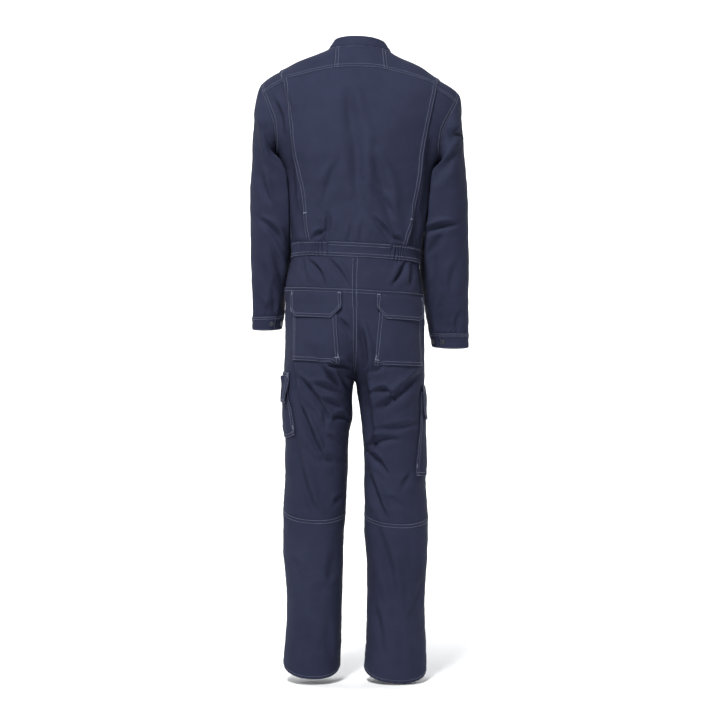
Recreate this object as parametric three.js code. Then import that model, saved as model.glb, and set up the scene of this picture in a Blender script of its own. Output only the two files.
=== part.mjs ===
// A boiler suit in navy work twill, filled out as if worn: stand collar, three-piece yoke, action pleats,
// elasticated waist, hip yoke, back, thigh and knee pockets. Millimetres, +Z up. The suit's front faces -Y,
// its wearer's left is +X, and the origin is the middle of the neck opening, level with its sides.
// Every piece is a cloth wall, laid on one of three smooth forms: trunk, legs and sleeves.
import * as THREE from "three";

// Driving sizes
const CLOTH = 1.5; // wall of one panel: two plies at its seams, averaged
const SEAM_GAP = 0.3; // between two pieces that are sewn edge to edge
const LEAN = 0.05; // the right shoulder and hip hang lower: height lost for each mm across
const SQUARENESS = 2.2; // 2 would make every ring an ellipse
const NECK_Z = 0;
const WAIST_TOP_Z = -482;
const WAIST_BOTTOM_Z = -520;
const HIP_SEAM_Z = -594;
const CROTCH_Z = -822;
const KNEE_SIDE_Z = -1155;
const KNEE_DIP = 21; // the knee seam hangs this much lower behind, and rises as much in front
const HEM_SIDE_Z = -1534;
const HEM_DIP = 26;
const ARMHOLE_TOP_Z = -93;
const ARMHOLE_FOOT_Z = -270;
const ARMHOLE_STOPS = 28; // points round the armhole, shared by the sleeve and the panels
const YOKE_STOP = 4; // the one where the yoke's outer end meets the side back, and the front
const PLEAT_LAYER = 4.2; // the side back and the shoulder lie this far under the pleat's folded edge
const PLEAT_UNDERLAP = 22;
const BODY_GAP = 5; // between the trunk and the form of a sleeve
const LEFT = 1;
const RIGHT = -1;

// Rings of the trunk: middle in x, half width, depth behind and in front of the side line. arm is the
// armhole edge's distance from the middle, dip the ring's fall in front, rise its climb behind.
const TRUNK = [
  { z: 0, mid: 0, half: 78, back: 60, front: 64, arm: 0, dip: 62, rise: 7 },
  { z: -18, mid: 0, half: 115, back: 80, front: 77, arm: 0, dip: 67, rise: 4 },
  { z: -38, mid: 0, half: 162, back: 97, front: 87, arm: 0, dip: 68, rise: 2 },
  { z: -56, mid: 0, half: 192, back: 107, front: 94, arm: 236, dip: 66, rise: 0 },
  { z: -75, mid: 0, half: 224, back: 116, front: 100, arm: 241, dip: 61, rise: 0 },
  { z: -93, mid: 0, half: 243, back: 123, front: 104, arm: 243, dip: 55, rise: 0 },
  { z: -110, mid: 0, half: 250, back: 128, front: 108, arm: 243, dip: 50, rise: 0 },
  { z: -128, mid: 1, half: 252, back: 132, front: 112, arm: 237, dip: 44, rise: 0 },
  { z: -156, mid: 2, half: 250, back: 136, front: 117, arm: 224, dip: 36, rise: 0 },
  { z: -190, mid: 4, half: 241, back: 138, front: 122, arm: 210, dip: 26, rise: 0 },
  { z: -214, mid: 5, half: 231, back: 138, front: 125, arm: 205, dip: 20, rise: 0 },
  { z: -240, mid: 6, half: 219, back: 137, front: 128, arm: 203, dip: 14, rise: 0 },
  { z: -270, mid: 6, half: 203, back: 136, front: 130, arm: 203, dip: 8, rise: 0 },
  { z: -310, mid: 4, half: 188, back: 132, front: 131, arm: 205, dip: 3, rise: 0 },
  { z: -360, mid: 3, half: 178, back: 127, front: 129, arm: 208, dip: 0, rise: 0 },
  { z: -420, mid: 5, half: 170, back: 120, front: 126, arm: 0, dip: 0, rise: 0 },
  { z: -470, mid: 9, half: 162, back: 115, front: 123, arm: 0, dip: 0, rise: 0 },
  { z: -507, mid: 11, half: 158, back: 113, front: 121, arm: 0, dip: 0, rise: 0 },
  { z: -545, mid: 13, half: 163, back: 121, front: 122, arm: 0, dip: 0, rise: 0 },
  { z: -600, mid: 14, half: 173, back: 132, front: 123, arm: 0, dip: 0, rise: 0 },
  { z: -640, mid: 13, half: 174, back: 137, front: 122, arm: 0, dip: 0, rise: 0 },
];
const MIDDLE_X = 13; // the seat and crotch seams, below the hips

// Rings of the legs: distance of the outer and inner side from the middle seam, for each leg, the depths,
// and the ring's set back. Above the crotch the inner side lies past the seam, where the legs are cut.
const LEGS = [
  { z: -640, outLeft: 174, inLeft: -174, outRight: 174, inRight: -174, back: 137, front: 122, set: 0 },
  { z: -685, outLeft: 174, inLeft: -126, outRight: 173, inRight: -126, back: 139, front: 120, set: 0 },
  { z: -725, outLeft: 174, inLeft: -76, outRight: 173, inRight: -76, back: 137, front: 117, set: 0 },
  { z: -760, outLeft: 175, inLeft: -40, outRight: 173, inRight: -40, back: 133, front: 114, set: 0 },
  { z: -790, outLeft: 175, inLeft: -14, outRight: 173, inRight: -14, back: 127, front: 111, set: 0 },
  { z: -822, outLeft: 175, inLeft: 1, outRight: 173, inRight: 1, back: 120, front: 108, set: 0 },
  { z: -860, outLeft: 174, inLeft: 7, outRight: 174, inRight: 8, back: 113, front: 105, set: 0 },
  { z: -910, outLeft: 174, inLeft: 11, outRight: 175, inRight: 15, back: 106, front: 101, set: -1 },
  { z: -960, outLeft: 174, inLeft: 15, outRight: 175, inRight: 20, back: 99, front: 98, set: -2 },
  { z: -1020, outLeft: 174, inLeft: 20, outRight: 176, inRight: 24, back: 92, front: 94, set: -3 },
  { z: -1080, outLeft: 174, inLeft: 22, outRight: 177, inRight: 25, back: 87, front: 90, set: -4 },
  { z: -1140, outLeft: 177, inLeft: 25, outRight: 181, inRight: 25, back: 84, front: 87, set: -4 },
  { z: -1200, outLeft: 178, inLeft: 27, outRight: 183, inRight: 25, back: 83, front: 84, set: -3 },
  { z: -1260, outLeft: 177, inLeft: 30, outRight: 180, inRight: 29, back: 81, front: 80, set: -2 },
  { z: -1330, outLeft: 171, inLeft: 32, outRight: 176, inRight: 30, back: 79, front: 76, set: 0 },
  { z: -1400, outLeft: 170, inLeft: 33, outRight: 175, inRight: 30, back: 78, front: 74, set: 2 },
  { z: -1470, outLeft: 173, inLeft: 34, outRight: 176, inRight: 28, back: 79, front: 73, set: 4 },
  { z: -1530, outLeft: 178, inLeft: 36, outRight: 178, inRight: 25, back: 81, front: 74, set: 6 },
  { z: -1580, outLeft: 179, inLeft: 37, outRight: 178, inRight: 24, back: 82, front: 75, set: 7 },
];

// Stations of a sleeve from armhole to cuff edge: its outer and inner side, its half depth, and its set
// back from the side line. The left arm hangs straighter, the right one lower and a little bent.
const SLEEVE_LEFT = [
  { outX: 250, outZ: -92, inX: 222, inZ: -266, depth: 77, set: 0 },
  { outX: 259, outZ: -122, inX: 212, inZ: -280, depth: 78, set: -1 },
  { outX: 264, outZ: -165, inX: 198, inZ: -294, depth: 79, set: -4 },
  { outX: 268, outZ: -215, inX: 185, inZ: -310, depth: 79, set: -9 },
  { outX: 271, outZ: -270, inX: 177, inZ: -332, depth: 78, set: -17 },
  { outX: 274, outZ: -328, inX: 171, inZ: -362, depth: 76, set: -26 },
  { outX: 275, outZ: -388, inX: 167, inZ: -402, depth: 74, set: -35 },
  { outX: 275, outZ: -448, inX: 166, inZ: -450, depth: 71, set: -43 },
  { outX: 274, outZ: -505, inX: 169, inZ: -504, depth: 66, set: -50 },
  { outX: 271, outZ: -560, inX: 177.5, inZ: -558, depth: 60, set: -57 },
  { outX: 269, outZ: -612, inX: 186.5, inZ: -610, depth: 53, set: -62 },
  { outX: 268, outZ: -659, inX: 192.5, inZ: -657, depth: 45, set: -67 },
  { outX: 268, outZ: -692, inX: 199, inZ: -691, depth: 42, set: -70 },
];
const SLEEVE_RIGHT = [
  { outX: -251, outZ: -119, inX: -208, inZ: -286, depth: 77, set: 0 },
  { outX: -255, outZ: -154, inX: -201, inZ: -300, depth: 78, set: -1 },
  { outX: -259, outZ: -200, inX: -189, inZ: -314, depth: 79, set: -4 },
  { outX: -263, outZ: -250, inX: -177, inZ: -332, depth: 79, set: -9 },
  { outX: -265, outZ: -305, inX: -169, inZ: -354, depth: 78, set: -17 },
  { outX: -267, outZ: -362, inX: -163, inZ: -384, depth: 76, set: -26 },
  { outX: -269, outZ: -422, inX: -157, inZ: -426, depth: 74, set: -35 },
  { outX: -270, outZ: -482, inX: -152, inZ: -480, depth: 70, set: -43 },
  { outX: -270, outZ: -540, inX: -150, inZ: -536, depth: 65, set: -50 },
  { outX: -270, outZ: -598, inX: -156, inZ: -595, depth: 58, set: -57 },
  { outX: -270, outZ: -652, inX: -166, inZ: -650, depth: 49, set: -62 },
  { outX: -269, outZ: -701, inX: -177, inZ: -700, depth: 41, set: -67 },
  { outX: -268, outZ: -738, inX: -184, inZ: -736, depth: 38, set: -70 },
];
const CUFF_STATION = 11; // the row where the sleeve ends and the cuff begins

// Largest folds. Each runs from (x, z) to (toX, toZ) as seen from behind (face 1) or in front (face -1).
// wide is its half width, deep its height: a negative one is a trough.
const FOLDS = [
  { on: "leftLeg", face: 1, x: 160, z: -800, toX: 142, toZ: -900, wide: 13, deep: -5 },
  { on: "leftLeg", face: 1, x: 142, z: -900, toX: 92, toZ: -1012, wide: 13, deep: -6 },
  { on: "leftLeg", face: 1, x: 158, z: -815, toX: 78, toZ: -940, wide: 13, deep: -6 },
  { on: "leftLeg", face: 1, x: 98, z: -776, toX: 54, toZ: -835, wide: 12, deep: -5 },
  { on: "leftLeg", face: 1, x: 160, z: -972, toX: 118, toZ: -1150, wide: 18, deep: -5 },
  { on: "rightLeg", face: 1, x: -145, z: -820, toX: -42, toZ: -905, wide: 14, deep: -6 },
  { on: "rightLeg", face: 1, x: -20, z: -990, toX: -80, toZ: -966, wide: 13, deep: -5 },
  { on: "rightLeg", face: 1, x: -22, z: -1040, toX: -60, toZ: -1150, wide: 16, deep: -5 },
  { on: "rightLeg", face: 1, x: -36, z: -1190, toX: -86, toZ: -1380, wide: 17, deep: -5 },
  { on: "leftLeg", face: -1, x: 30, z: -800, toX: 150, toZ: -890, wide: 15, deep: -6 },
  { on: "leftLeg", face: -1, x: 60, z: -1290, toX: 150, toZ: -1350, wide: 16, deep: -5 },
  { on: "rightLeg", face: -1, x: -10, z: -800, toX: -130, toZ: -880, wide: 15, deep: -6 },
  { on: "rightLeg", face: -1, x: -40, z: -1290, toX: -140, toZ: -1340, wide: 16, deep: -5 },
  { on: "trunk", face: 1, x: 38, z: -150, toX: 8, toZ: -380, wide: 26, deep: -4 },
  { on: "trunk", face: 1, x: -34, z: -290, toX: -74, toZ: -430, wide: 22, deep: -4 },
  { on: "trunk", face: -1, x: 120, z: -230, toX: 70, toZ: -420, wide: 24, deep: -5 },
  { on: "trunk", face: -1, x: -110, z: -240, toX: -60, toZ: -420, wide: 24, deep: -5 },
  { on: "leftSleeve", face: 1, x: 258, z: -150, toX: 212, toZ: -226, wide: 13, deep: -8 },
  { on: "leftSleeve", face: 1, x: 246, z: -290, toX: 196, toZ: -362, wide: 14, deep: -6 },
  { on: "leftSleeve", face: 1, x: 256, z: -420, toX: 205, toZ: -492, wide: 15, deep: -6 },
  { on: "rightSleeve", face: 1, x: -240, z: -145, toX: -202, toZ: -222, wide: 13, deep: -8 },
  { on: "rightSleeve", face: 1, x: -246, z: -212, toX: -200, toZ: -300, wide: 13, deep: -7 },
  { on: "rightSleeve", face: 1, x: -256, z: -448, toX: -176, toZ: -462, wide: 15, deep: -6 },
  { on: "leftSleeve", face: -1, x: 262, z: -300, toX: 205, toZ: -400, wide: 16, deep: -6 },
  { on: "rightSleeve", face: -1, x: -258, z: -320, toX: -190, toZ: -420, wide: 16, deep: -6 },
];

// Mathematics shared by the forms
const degrees = (angle) => (angle * Math.PI) / 180;
const mix = (from, to, share) => from + (to - from) * share;
const bent = (value, power) => Math.sign(value) * Math.abs(value) ** power;
const easy = (share) => THREE.MathUtils.smoothstep(share, 0, 1); // runs from 0 to 1 without a corner

// The smooth value of one column of a table at a place along its key. Slopes are carried through each row.
function column(rows, name, at, key = "z") {
  const turned = rows[0][key] > rows[rows.length - 1][key] ? -1 : 1;
  const place = (i) => rows[i][key] * turned;
  const last = rows.length - 1;
  const here = THREE.MathUtils.clamp(at * turned, place(0), place(last));
  let i = 0;
  while (i < last - 1 && here > place(i + 1)) i += 1;
  const slope = (k) => {
    const low = Math.max(k - 1, 0);
    const high = Math.min(k + 1, last);
    return (rows[high][name] - rows[low][name]) / (place(high) - place(low));
  };
  const step = place(i + 1) - place(i);
  const t = (here - place(i)) / step;
  const from = rows[i][name];
  const to = rows[i + 1][name];
  const early = slope(i) * step;
  const late = slope(i + 1) * step;
  const a = 2 * t ** 3 - 3 * t ** 2 + 1;
  const b = t ** 3 - 2 * t ** 2 + t;
  const c = -2 * t ** 3 + 3 * t ** 2;
  const d = t ** 3 - t ** 2;
  return a * from + b * early + c * to + d * late;
}

// A sleeve's table is read by station number.
const numbered = (rows) => rows.map((row, station) => ({ ...row, station }));
const STATIONS = { [LEFT]: numbered(SLEEVE_LEFT), [RIGHT]: numbered(SLEEVE_RIGHT) };

// Depth of all folds of one form at (x, z), on the side that sine of the ring's angle says.
function relief(on, x, z, sine) {
  let sum = 0;
  for (const fold of FOLDS) {
    if (fold.on !== on) continue;
    const runX = fold.toX - fold.x;
    const runZ = fold.toZ - fold.z;
    const t = ((x - fold.x) * runX + (z - fold.z) * runZ) / (runX ** 2 + runZ ** 2);
    const held = THREE.MathUtils.clamp(t, 0, 1);
    const away = Math.hypot(x - fold.x - held * runX, z - fold.z - held * runZ) / fold.wide;
    const facing = THREE.MathUtils.smoothstep(sine * fold.face, 0.05, 0.4);
    sum += fold.deep * facing * Math.exp(-(away ** 2));
  }
  return sum;
}

// The trunk, from the neck ring to the hips. Angle 0 is the wearer's left side, 90 degrees is behind.
function trunk(angle, z) {
  const c = Math.cos(angle);
  const s = Math.sin(angle);
  const half = column(TRUNK, "half", z);
  const depth = column(TRUNK, s > 0 ? "back" : "front", z);
  const x = column(TRUNK, "mid", z) + half * bent(c, 2 / SQUARENESS);
  const y = depth * bent(s, 2 / SQUARENESS);
  const rise = column(TRUNK, "rise", z) * Math.max(0, s) ** 1.5;
  const dip = column(TRUNK, "dip", z) * Math.max(0, -s) ** 1.5;
  const point = new THREE.Vector3(x, y, z + rise - dip + LEAN * x);
  const outward = new THREE.Vector3(c / half, s / depth, 0).normalize();
  return point.addScaledVector(outward, relief("trunk", point.x, point.z, s));
}

// A leg with its half of the seat. Angle 0 is the outer side, 90 degrees is behind, 180 the inside leg.
function leg(side, angle, z) {
  const c = Math.cos(angle);
  const s = Math.sin(angle);
  const ring = legRing(side, z);
  const depth = s > 0 ? ring.back : ring.front;
  const x = ring.centre + side * ring.half * bent(c, 2 / SQUARENESS);
  const y = ring.set + depth * bent(s, 2 / SQUARENESS);
  const point = new THREE.Vector3(x, y, z + LEAN * x);
  const outward = new THREE.Vector3((side * c) / ring.half, s / depth, 0).normalize();
  const on = side === LEFT ? "leftLeg" : "rightLeg";
  return point.addScaledVector(outward, relief(on, point.x, point.z, s));
}

function legRing(side, z) {
  if (z > LEGS[0].z) {
    return {
      centre: column(TRUNK, "mid", z),
      half: column(TRUNK, "half", z),
      back: column(TRUNK, "back", z),
      front: column(TRUNK, "front", z),
      set: 0,
    };
  }
  const name = side === LEFT ? "Left" : "Right";
  const out = column(LEGS, "out" + name, z);
  const inner = column(LEGS, "in" + name, z);
  return {
    centre: MIDDLE_X + (side * (out + inner)) / 2,
    half: (out - inner) / 2,
    back: column(LEGS, "back", z),
    front: column(LEGS, "front", z),
    set: column(LEGS, "set", z),
  };
}

// The angle of a leg's inner edge: the middle seam above the crotch, and the inside leg below it.
function innerAngle(side, z) {
  const ring = legRing(side, z);
  const middle = z > LEGS[0].z ? ring.centre : MIDDLE_X;
  const share = (side * (middle - ring.centre)) / ring.half;
  return share <= -1 ? Math.PI : Math.acos(bent(share, SQUARENESS / 2));
}

// The angle where a ring of the trunk or of a leg is a given distance from its middle.
const ringAngle = (distance, half) => Math.acos(bent(Math.min(distance / half, 1), SQUARENESS / 2));
const trunkAngle = (distance, z) => ringAngle(distance, column(TRUNK, "half", z));
function legAngle(side, distance, z) {
  const ring = legRing(side, z);
  const fromCentre = distance - side * (ring.centre - MIDDLE_X);
  return Math.acos(bent(THREE.MathUtils.clamp(fromCentre / ring.half, -1, 1), SQUARENESS / 2));
}

// The armhole's edge on the trunk. Angle 0 is its top, 90 degrees its back, 180 its foot.
const armholeHeight = (angle) => mix(ARMHOLE_FOOT_Z, ARMHOLE_TOP_Z, (1 + Math.cos(angle)) / 2);
const armholeStop = (stop) => armholeHeight((2 * Math.PI * stop) / ARMHOLE_STOPS);
const SHOULDER_SEAM_Z = armholeStop(YOKE_STOP);
const armholeAngle = (z) => trunkAngle(column(TRUNK, "arm", z), z);
function armhole(side, angle) {
  const z = armholeHeight(angle);
  const onRing = armholeAngle(z) * Math.sign(Math.sin(angle));
  return trunk(side === LEFT ? onRing : Math.PI - onRing, z);
}

// Pushes a point of a sleeve outwards until it clears the side of the trunk, where the arm leans on it.
function clearOfTrunk(side, point, share) {
  const z = point.z - LEAN * point.x;
  const depth = column(TRUNK, point.y > 0 ? "back" : "front", z);
  const room = Math.max(0, 1 - Math.abs(point.y / depth) ** SQUARENESS) ** (1 / SQUARENESS);
  const wall = side * column(TRUNK, "mid", z) + column(TRUNK, "half", z) * room + share * BODY_GAP;
  const out = side * point.x;
  const soft = share * BODY_GAP + 0.01;
  point.x = (side * (out + wall + Math.hypot(out - wall, soft))) / 2;
}

// A sleeve. Angle 0 is its outer side, 90 degrees is behind; station 0 follows the armhole's edge.
function sleeve(side, angle, station) {
  const rows = STATIONS[side];
  const read = (name) => column(rows, name, station, "station");
  const c = bent(Math.cos(angle), 2 / SQUARENESS);
  const s = bent(Math.sin(angle), 2 / SQUARENESS);
  const point = new THREE.Vector3(
    (read("outX") + read("inX")) / 2 + (c * (read("outX") - read("inX"))) / 2,
    read("set") + read("depth") * s,
    (read("outZ") + read("inZ")) / 2 + (c * (read("outZ") - read("inZ"))) / 2,
  );
  const outward = new THREE.Vector3(side * Math.cos(angle), Math.sin(angle), 0).normalize();
  const on = side === LEFT ? "leftSleeve" : "rightSleeve";
  const settled = easy(station / 1.6);
  point.addScaledVector(outward, settled * relief(on, point.x, point.z, Math.sin(angle)));
  point.lerp(armhole(side, angle), 1 - settled);
  if (settled > 0) clearOfTrunk(side, point, settled);
  return point;
}

// The outward normal of a form, from its own slopes. turn is 1 where its angle runs anticlockwise from
// above, step the distance either way along it, and top and foot its ends.
function normalOf(on, angle, along) {
  const a = degrees(0.6);
  const high = Math.min(along + on.step, Math.max(on.top, on.foot));
  const low = Math.max(along - on.step, Math.min(on.top, on.foot));
  const round = on.form(angle + a, along).sub(on.form(angle - a, along));
  const up = on.form(angle, high).sub(on.form(angle, low));
  return round.cross(up).normalize().multiplyScalar(on.turn);
}

const onTrunk = { form: trunk, turn: 1, step: 1.5, top: NECK_Z, foot: LEGS[0].z };
const onLeg = (side) => ({
  form: (angle, z) => leg(side, angle, z),
  turn: side,
  step: 1.5,
  top: WAIST_BOTTOM_Z + 10,
  foot: LEGS[LEGS.length - 1].z,
});
// Stations count downwards, so a sleeve's second slope runs the other way.
const onSleeve = (side) => ({
  form: (angle, station) => sleeve(side, angle, station),
  turn: -side,
  step: 0.03,
  top: 0,
  foot: SLEEVE_LEFT.length - 1,
});

const steps = (count) => Array.from({ length: count + 1 }, (_, i) => i / count);

// A broken line through rows of { share, angle, z }, as a function from 0 to 1.
function path(rows) {
  return (share) => {
    const found = rows.findLastIndex((row) => row.share <= share + 1e-9);
    const i = THREE.MathUtils.clamp(found, 0, rows.length - 2);
    const t = (share - rows[i].share) / (rows[i + 1].share - rows[i].share);
    return [mix(rows[i].angle, rows[i + 1].angle, t), mix(rows[i].z, rows[i + 1].z, t)];
  };
}
const straight = (from, to) => (share) => [mix(from[0], to[0], share), mix(from[1], to[1], share)];

// A patch between four edges, each a function from 0 to 1 that gives [angle, height].
function between(top, bottom, start, end) {
  const corners = [top(0), top(1), bottom(0), bottom(1)];
  return (u, v) =>
    [0, 1].map((k) => {
      const ruled = mix(top(u)[k], bottom(u)[k], v) + mix(start(v)[k], end(v)[k], u);
      const flat = mix(mix(corners[0][k], corners[1][k], u), mix(corners[2][k], corners[3][k], u), v);
      return ruled - flat;
    });
}

// A patch of straight rows between two edges. Its first row follows a curved top: the curve is gone by depth.
function under(top, start, end, depth) {
  return (u, v) => {
    const kept = Math.max(0, 1 - v / depth) ** 1.5;
    return [0, 1].map((k) => {
      const curve = top(u)[k] - mix(top(0)[k], top(1)[k], u);
      return mix(start(v)[k], end(v)[k], u) + kept * curve;
    });
  };
}

// A cloth wall over a grid of shares u and v of a patch. lift is its outer face's height over the form.
function cloth({ name, on, patch, across, down, lift = 0, round = false, headGap = SEAM_GAP }) {
  const height = typeof lift === "function" ? lift : () => lift;
  const columns = round ? across.length - 1 : across.length;
  const outer = [];
  const inner = [];
  for (let i = 0; i < columns; i += 1) {
    outer.push([]);
    inner.push([]);
    for (const v of down) {
      const [angle, along] = patch(across[i], v);
      const foot = on.form(angle, along);
      const normal = normalOf(on, angle, along);
      const over = height(across[i], v);
      outer[i].push(foot.clone().addScaledVector(normal, over));
      inner[i].push(foot.clone().addScaledVector(normal, over - CLOTH));
    }
  }
  for (const layer of [outer, inner]) trimSeams(layer, round, headGap / 2);
  return mesh(name, wall(outer, inner, round), NAVY);
}

// Takes half the seam gap off each free edge of a grid of points, and head off its first row.
function trimSeams(grid, round, head) {
  const pull = (edge, next, amount = SEAM_GAP / 2) => {
    const inward = next.clone().sub(edge);
    edge.addScaledVector(inward.normalize(), amount);
  };
  for (const line of grid) {
    pull(line[0], line[1], head);
    pull(line[line.length - 1], line[line.length - 2]);
  }
  if (round) return;
  const last = grid.length - 1;
  grid[0].forEach((edge, j) => pull(edge, grid[1][j]));
  grid[last].forEach((edge, j) => pull(edge, grid[last - 1][j]));
}

// One closed surface from an outer and an inner grid, with rims along the free edges.
function wall(outer, inner, round) {
  const columns = outer.length;
  const rows = outer[0].length;
  const positions = [...outer, ...inner].flatMap((line) => line.flatMap((point) => point.toArray()));
  const outside = (i, j) => (i % columns) * rows + j;
  const inside = (i, j) => columns * rows + outside(i, j);
  const index = [];
  const quad = (a, b, c, d) => index.push(a, b, c, a, c, d);
  const spans = round ? columns : columns - 1;
  for (let i = 0; i < spans; i += 1) {
    for (let j = 0; j < rows - 1; j += 1) {
      quad(outside(i, j), outside(i, j + 1), outside(i + 1, j + 1), outside(i + 1, j));
      quad(inside(i, j), inside(i + 1, j), inside(i + 1, j + 1), inside(i, j + 1));
    }
    quad(outside(i, 0), outside(i + 1, 0), inside(i + 1, 0), inside(i, 0));
    quad(outside(i, rows - 1), inside(i, rows - 1), inside(i + 1, rows - 1), outside(i + 1, rows - 1));
  }
  if (!round) {
    const far = columns - 1;
    for (let j = 0; j < rows - 1; j += 1) {
      quad(outside(0, j), inside(0, j), inside(0, j + 1), outside(0, j + 1));
      quad(outside(far, j), outside(far, j + 1), inside(far, j + 1), inside(far, j));
    }
  }
  const geometry = new THREE.BufferGeometry();
  geometry.setAttribute("position", new THREE.Float32BufferAttribute(positions, 3));
  geometry.setIndex(index);
  return volume(geometry) < 0 ? turnedOver(geometry) : geometry;
}

function volume(geometry) {
  const p = geometry.attributes.position;
  const corner = (k) => new THREE.Vector3().fromBufferAttribute(p, geometry.index.getX(k));
  let sum = 0;
  for (let k = 0; k < geometry.index.count; k += 3) {
    sum += corner(k).dot(corner(k + 1).cross(corner(k + 2)));
  }
  return sum;
}

function turnedOver(geometry) {
  const index = [...geometry.index.array];
  for (let k = 0; k < index.length; k += 3) {
    [index[k + 1], index[k + 2]] = [index[k + 2], index[k + 1]];
  }
  geometry.setIndex(index);
  return geometry;
}

const suit = new THREE.Group();
const NAVY = new THREE.Color(0.035, 0.042, 0.075);
const GUNMETAL = new THREE.Color(0.12, 0.13, 0.16);

function mesh(name, geometry, color, metalness = 0, roughness = 0.85) {
  const made = new THREE.Mesh(geometry, new THREE.MeshStandardMaterial({ color, roughness, metalness }));
  made.name = name;
  suit.add(made);
  return made;
}

const sides = [
  { word: "left", side: LEFT },
  { word: "right", side: RIGHT },
];
// A place on the trunk is given as on the wearer's left, and mirrored for the right.
const mirrored = (side, [angle, z]) => [side === LEFT ? angle : Math.PI - angle, z];

// Yoke seam of the back: height at a distance from the middle. The pieces that meet there share its stops.
const YOKE_SEAM = [
  { across: 0, z: -47 },
  { across: 30, z: -47.5 },
  { across: 60, z: -50 },
  { across: 85, z: -54.5 },
  { across: 110, z: -60 },
  { across: 130, z: -65 },
  { across: 150, z: -70 },
  { across: 170, z: -75 },
  { across: 190, z: -79 },
];
const YOKE_SIDE = 2; // the stop where the centre yoke ends
const YOKE_END = YOKE_SEAM.length - 1;
const NECK_STOP = 58; // the same seam at the neck
const yokeSeam = (across) => {
  const z = column(YOKE_SEAM, "z", Math.abs(across), "across");
  return mirrored(across < 0 ? RIGHT : LEFT, [trunkAngle(Math.abs(across), z), z]);
};
const neckSide = () => [trunkAngle(NECK_STOP, NECK_Z), NECK_Z];

// The pleat's folded edge runs down from the end of the yoke seam to the waist, and slants in.
const PLEAT_TOP = YOKE_SEAM[YOKE_END];
const PLEAT_FOOT = { [LEFT]: 116, [RIGHT]: 124 };
const pleatLine = (side, z, shift = 0) => {
  const share = (z - PLEAT_TOP.z) / (WAIST_TOP_Z - PLEAT_TOP.z);
  return mirrored(side, [trunkAngle(mix(PLEAT_TOP.across, PLEAT_FOOT[side], share) - shift, z), z]);
};

// Over the shoulder: where the pleat's edge crosses the ridge, and the front yoke seam from neck to armhole
const RIDGE = [0, -56];
const FRONT_NECK = [degrees(-38), NECK_Z];
const FRONT_CORNER = [degrees(-23), -66];
const LOWER_SEAM_START = 180; // the yoke's outer end shows from here, under the pleat
const LOWER_SEAM_Z = -91;

// Centre back, between the two action pleats
function centreBack() {
  const reach = PLEAT_TOP.across;
  const stops = [...YOKE_SEAM].reverse().map((stop) => stop.across);
  const across = [...stops, ...YOKE_SEAM.slice(1).map((stop) => -stop.across)];
  const top = (u) => yokeSeam(mix(reach, -reach, u));
  const start = (v) => pleatLine(LEFT, mix(PLEAT_TOP.z, WAIST_TOP_Z, v));
  const end = (v) => pleatLine(RIGHT, mix(PLEAT_TOP.z, WAIST_TOP_Z, v));
  const bottom = straight(start(1), end(1));
  cloth({
    name: "back_panel",
    on: onTrunk,
    patch: between(top, bottom, start, end),
    across: across.map((x) => (reach - x) / (2 * reach)),
    down: [0, 0.03, 0.07, 0.12, ...steps(10).slice(2).map((v) => v * 0.95), 1],
  });
}

// Height of the side back and the shoulder: low under the pleat's edge, level with the rest at the armhole
const underPleat = (share) => -PLEAT_LAYER * (1 - THREE.MathUtils.smoothstep(share, 0.3, 0.95));

const lowerSeam = (side) => {
  const from = [trunkAngle(LOWER_SEAM_START, LOWER_SEAM_Z), LOWER_SEAM_Z];
  const to = [armholeAngle(SHOULDER_SEAM_Z), SHOULDER_SEAM_Z];
  return (share) => mirrored(side, straight(from, to)(share));
};

// Edge of a panel at the armhole, then the side seam down to the waist
const sideEdge = (side, facing) => (v) => {
  const z = mix(SHOULDER_SEAM_Z, WAIST_TOP_Z, v);
  return mirrored(side, [z > ARMHOLE_FOOT_Z ? armholeAngle(z) * facing : 0, z]);
};
const shareOf = (z) => (z - SHOULDER_SEAM_Z) / (WAIST_TOP_Z - SHOULDER_SEAM_Z);
const STOPS_BELOW_YOKE = ARMHOLE_STOPS / 2 - YOKE_STOP;
const ARMHOLE_ROWS = steps(STOPS_BELOW_YOKE).map((_, row) => shareOf(armholeStop(YOKE_STOP + row)));
const BELOW_ARMHOLE = steps(6).slice(1).map((v) => mix(shareOf(ARMHOLE_FOOT_Z), 1, v));
const SIDE_ROWS = [...ARMHOLE_ROWS, ...BELOW_ARMHOLE];
// Height of a panel's other edge, which has its own start and is level with the side seam below the armhole
const levelled = (from) => (v) => {
  const foot = shareOf(ARMHOLE_FOOT_Z);
  return v < foot ? mix(from, ARMHOLE_FOOT_Z, v / foot) : mix(SHOULDER_SEAM_Z, WAIST_TOP_Z, v);
};

// Side back, from under the pleat to the armhole and the side seam
function sideBack({ word, side }) {
  const height = levelled(LOWER_SEAM_Z);
  const start = (v) => pleatLine(side, height(v), PLEAT_UNDERLAP * (0.35 + 0.65 * easy(v * 3)));
  const end = sideEdge(side, 1);
  const corner = lowerSeam(side);
  const top = (u) => {
    if (u < 0.2) return straight(start(0), corner(0.1))(u / 0.2);
    return corner(mix(0.1, 1, (u - 0.2) / 0.8));
  };
  cloth({
    name: `back_side_${word}`,
    on: onTrunk,
    patch: under(top, start, end, 0.3),
    across: steps(5),
    down: SIDE_ROWS,
    lift: underPleat,
  });
}

// Centre yoke, from the yoke seam to the neck
function centreYoke() {
  const reach = YOKE_SEAM[YOKE_SIDE].across;
  const bottom = (u) => yokeSeam(mix(reach, -reach, u));
  const top = straight(neckSide(), mirrored(RIGHT, neckSide()));
  cloth({
    name: "yoke_centre",
    on: onTrunk,
    patch: between(top, bottom, straight(top(0), bottom(0)), straight(top(1), bottom(1))),
    across: steps(4),
    down: steps(4),
  });
}

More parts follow.
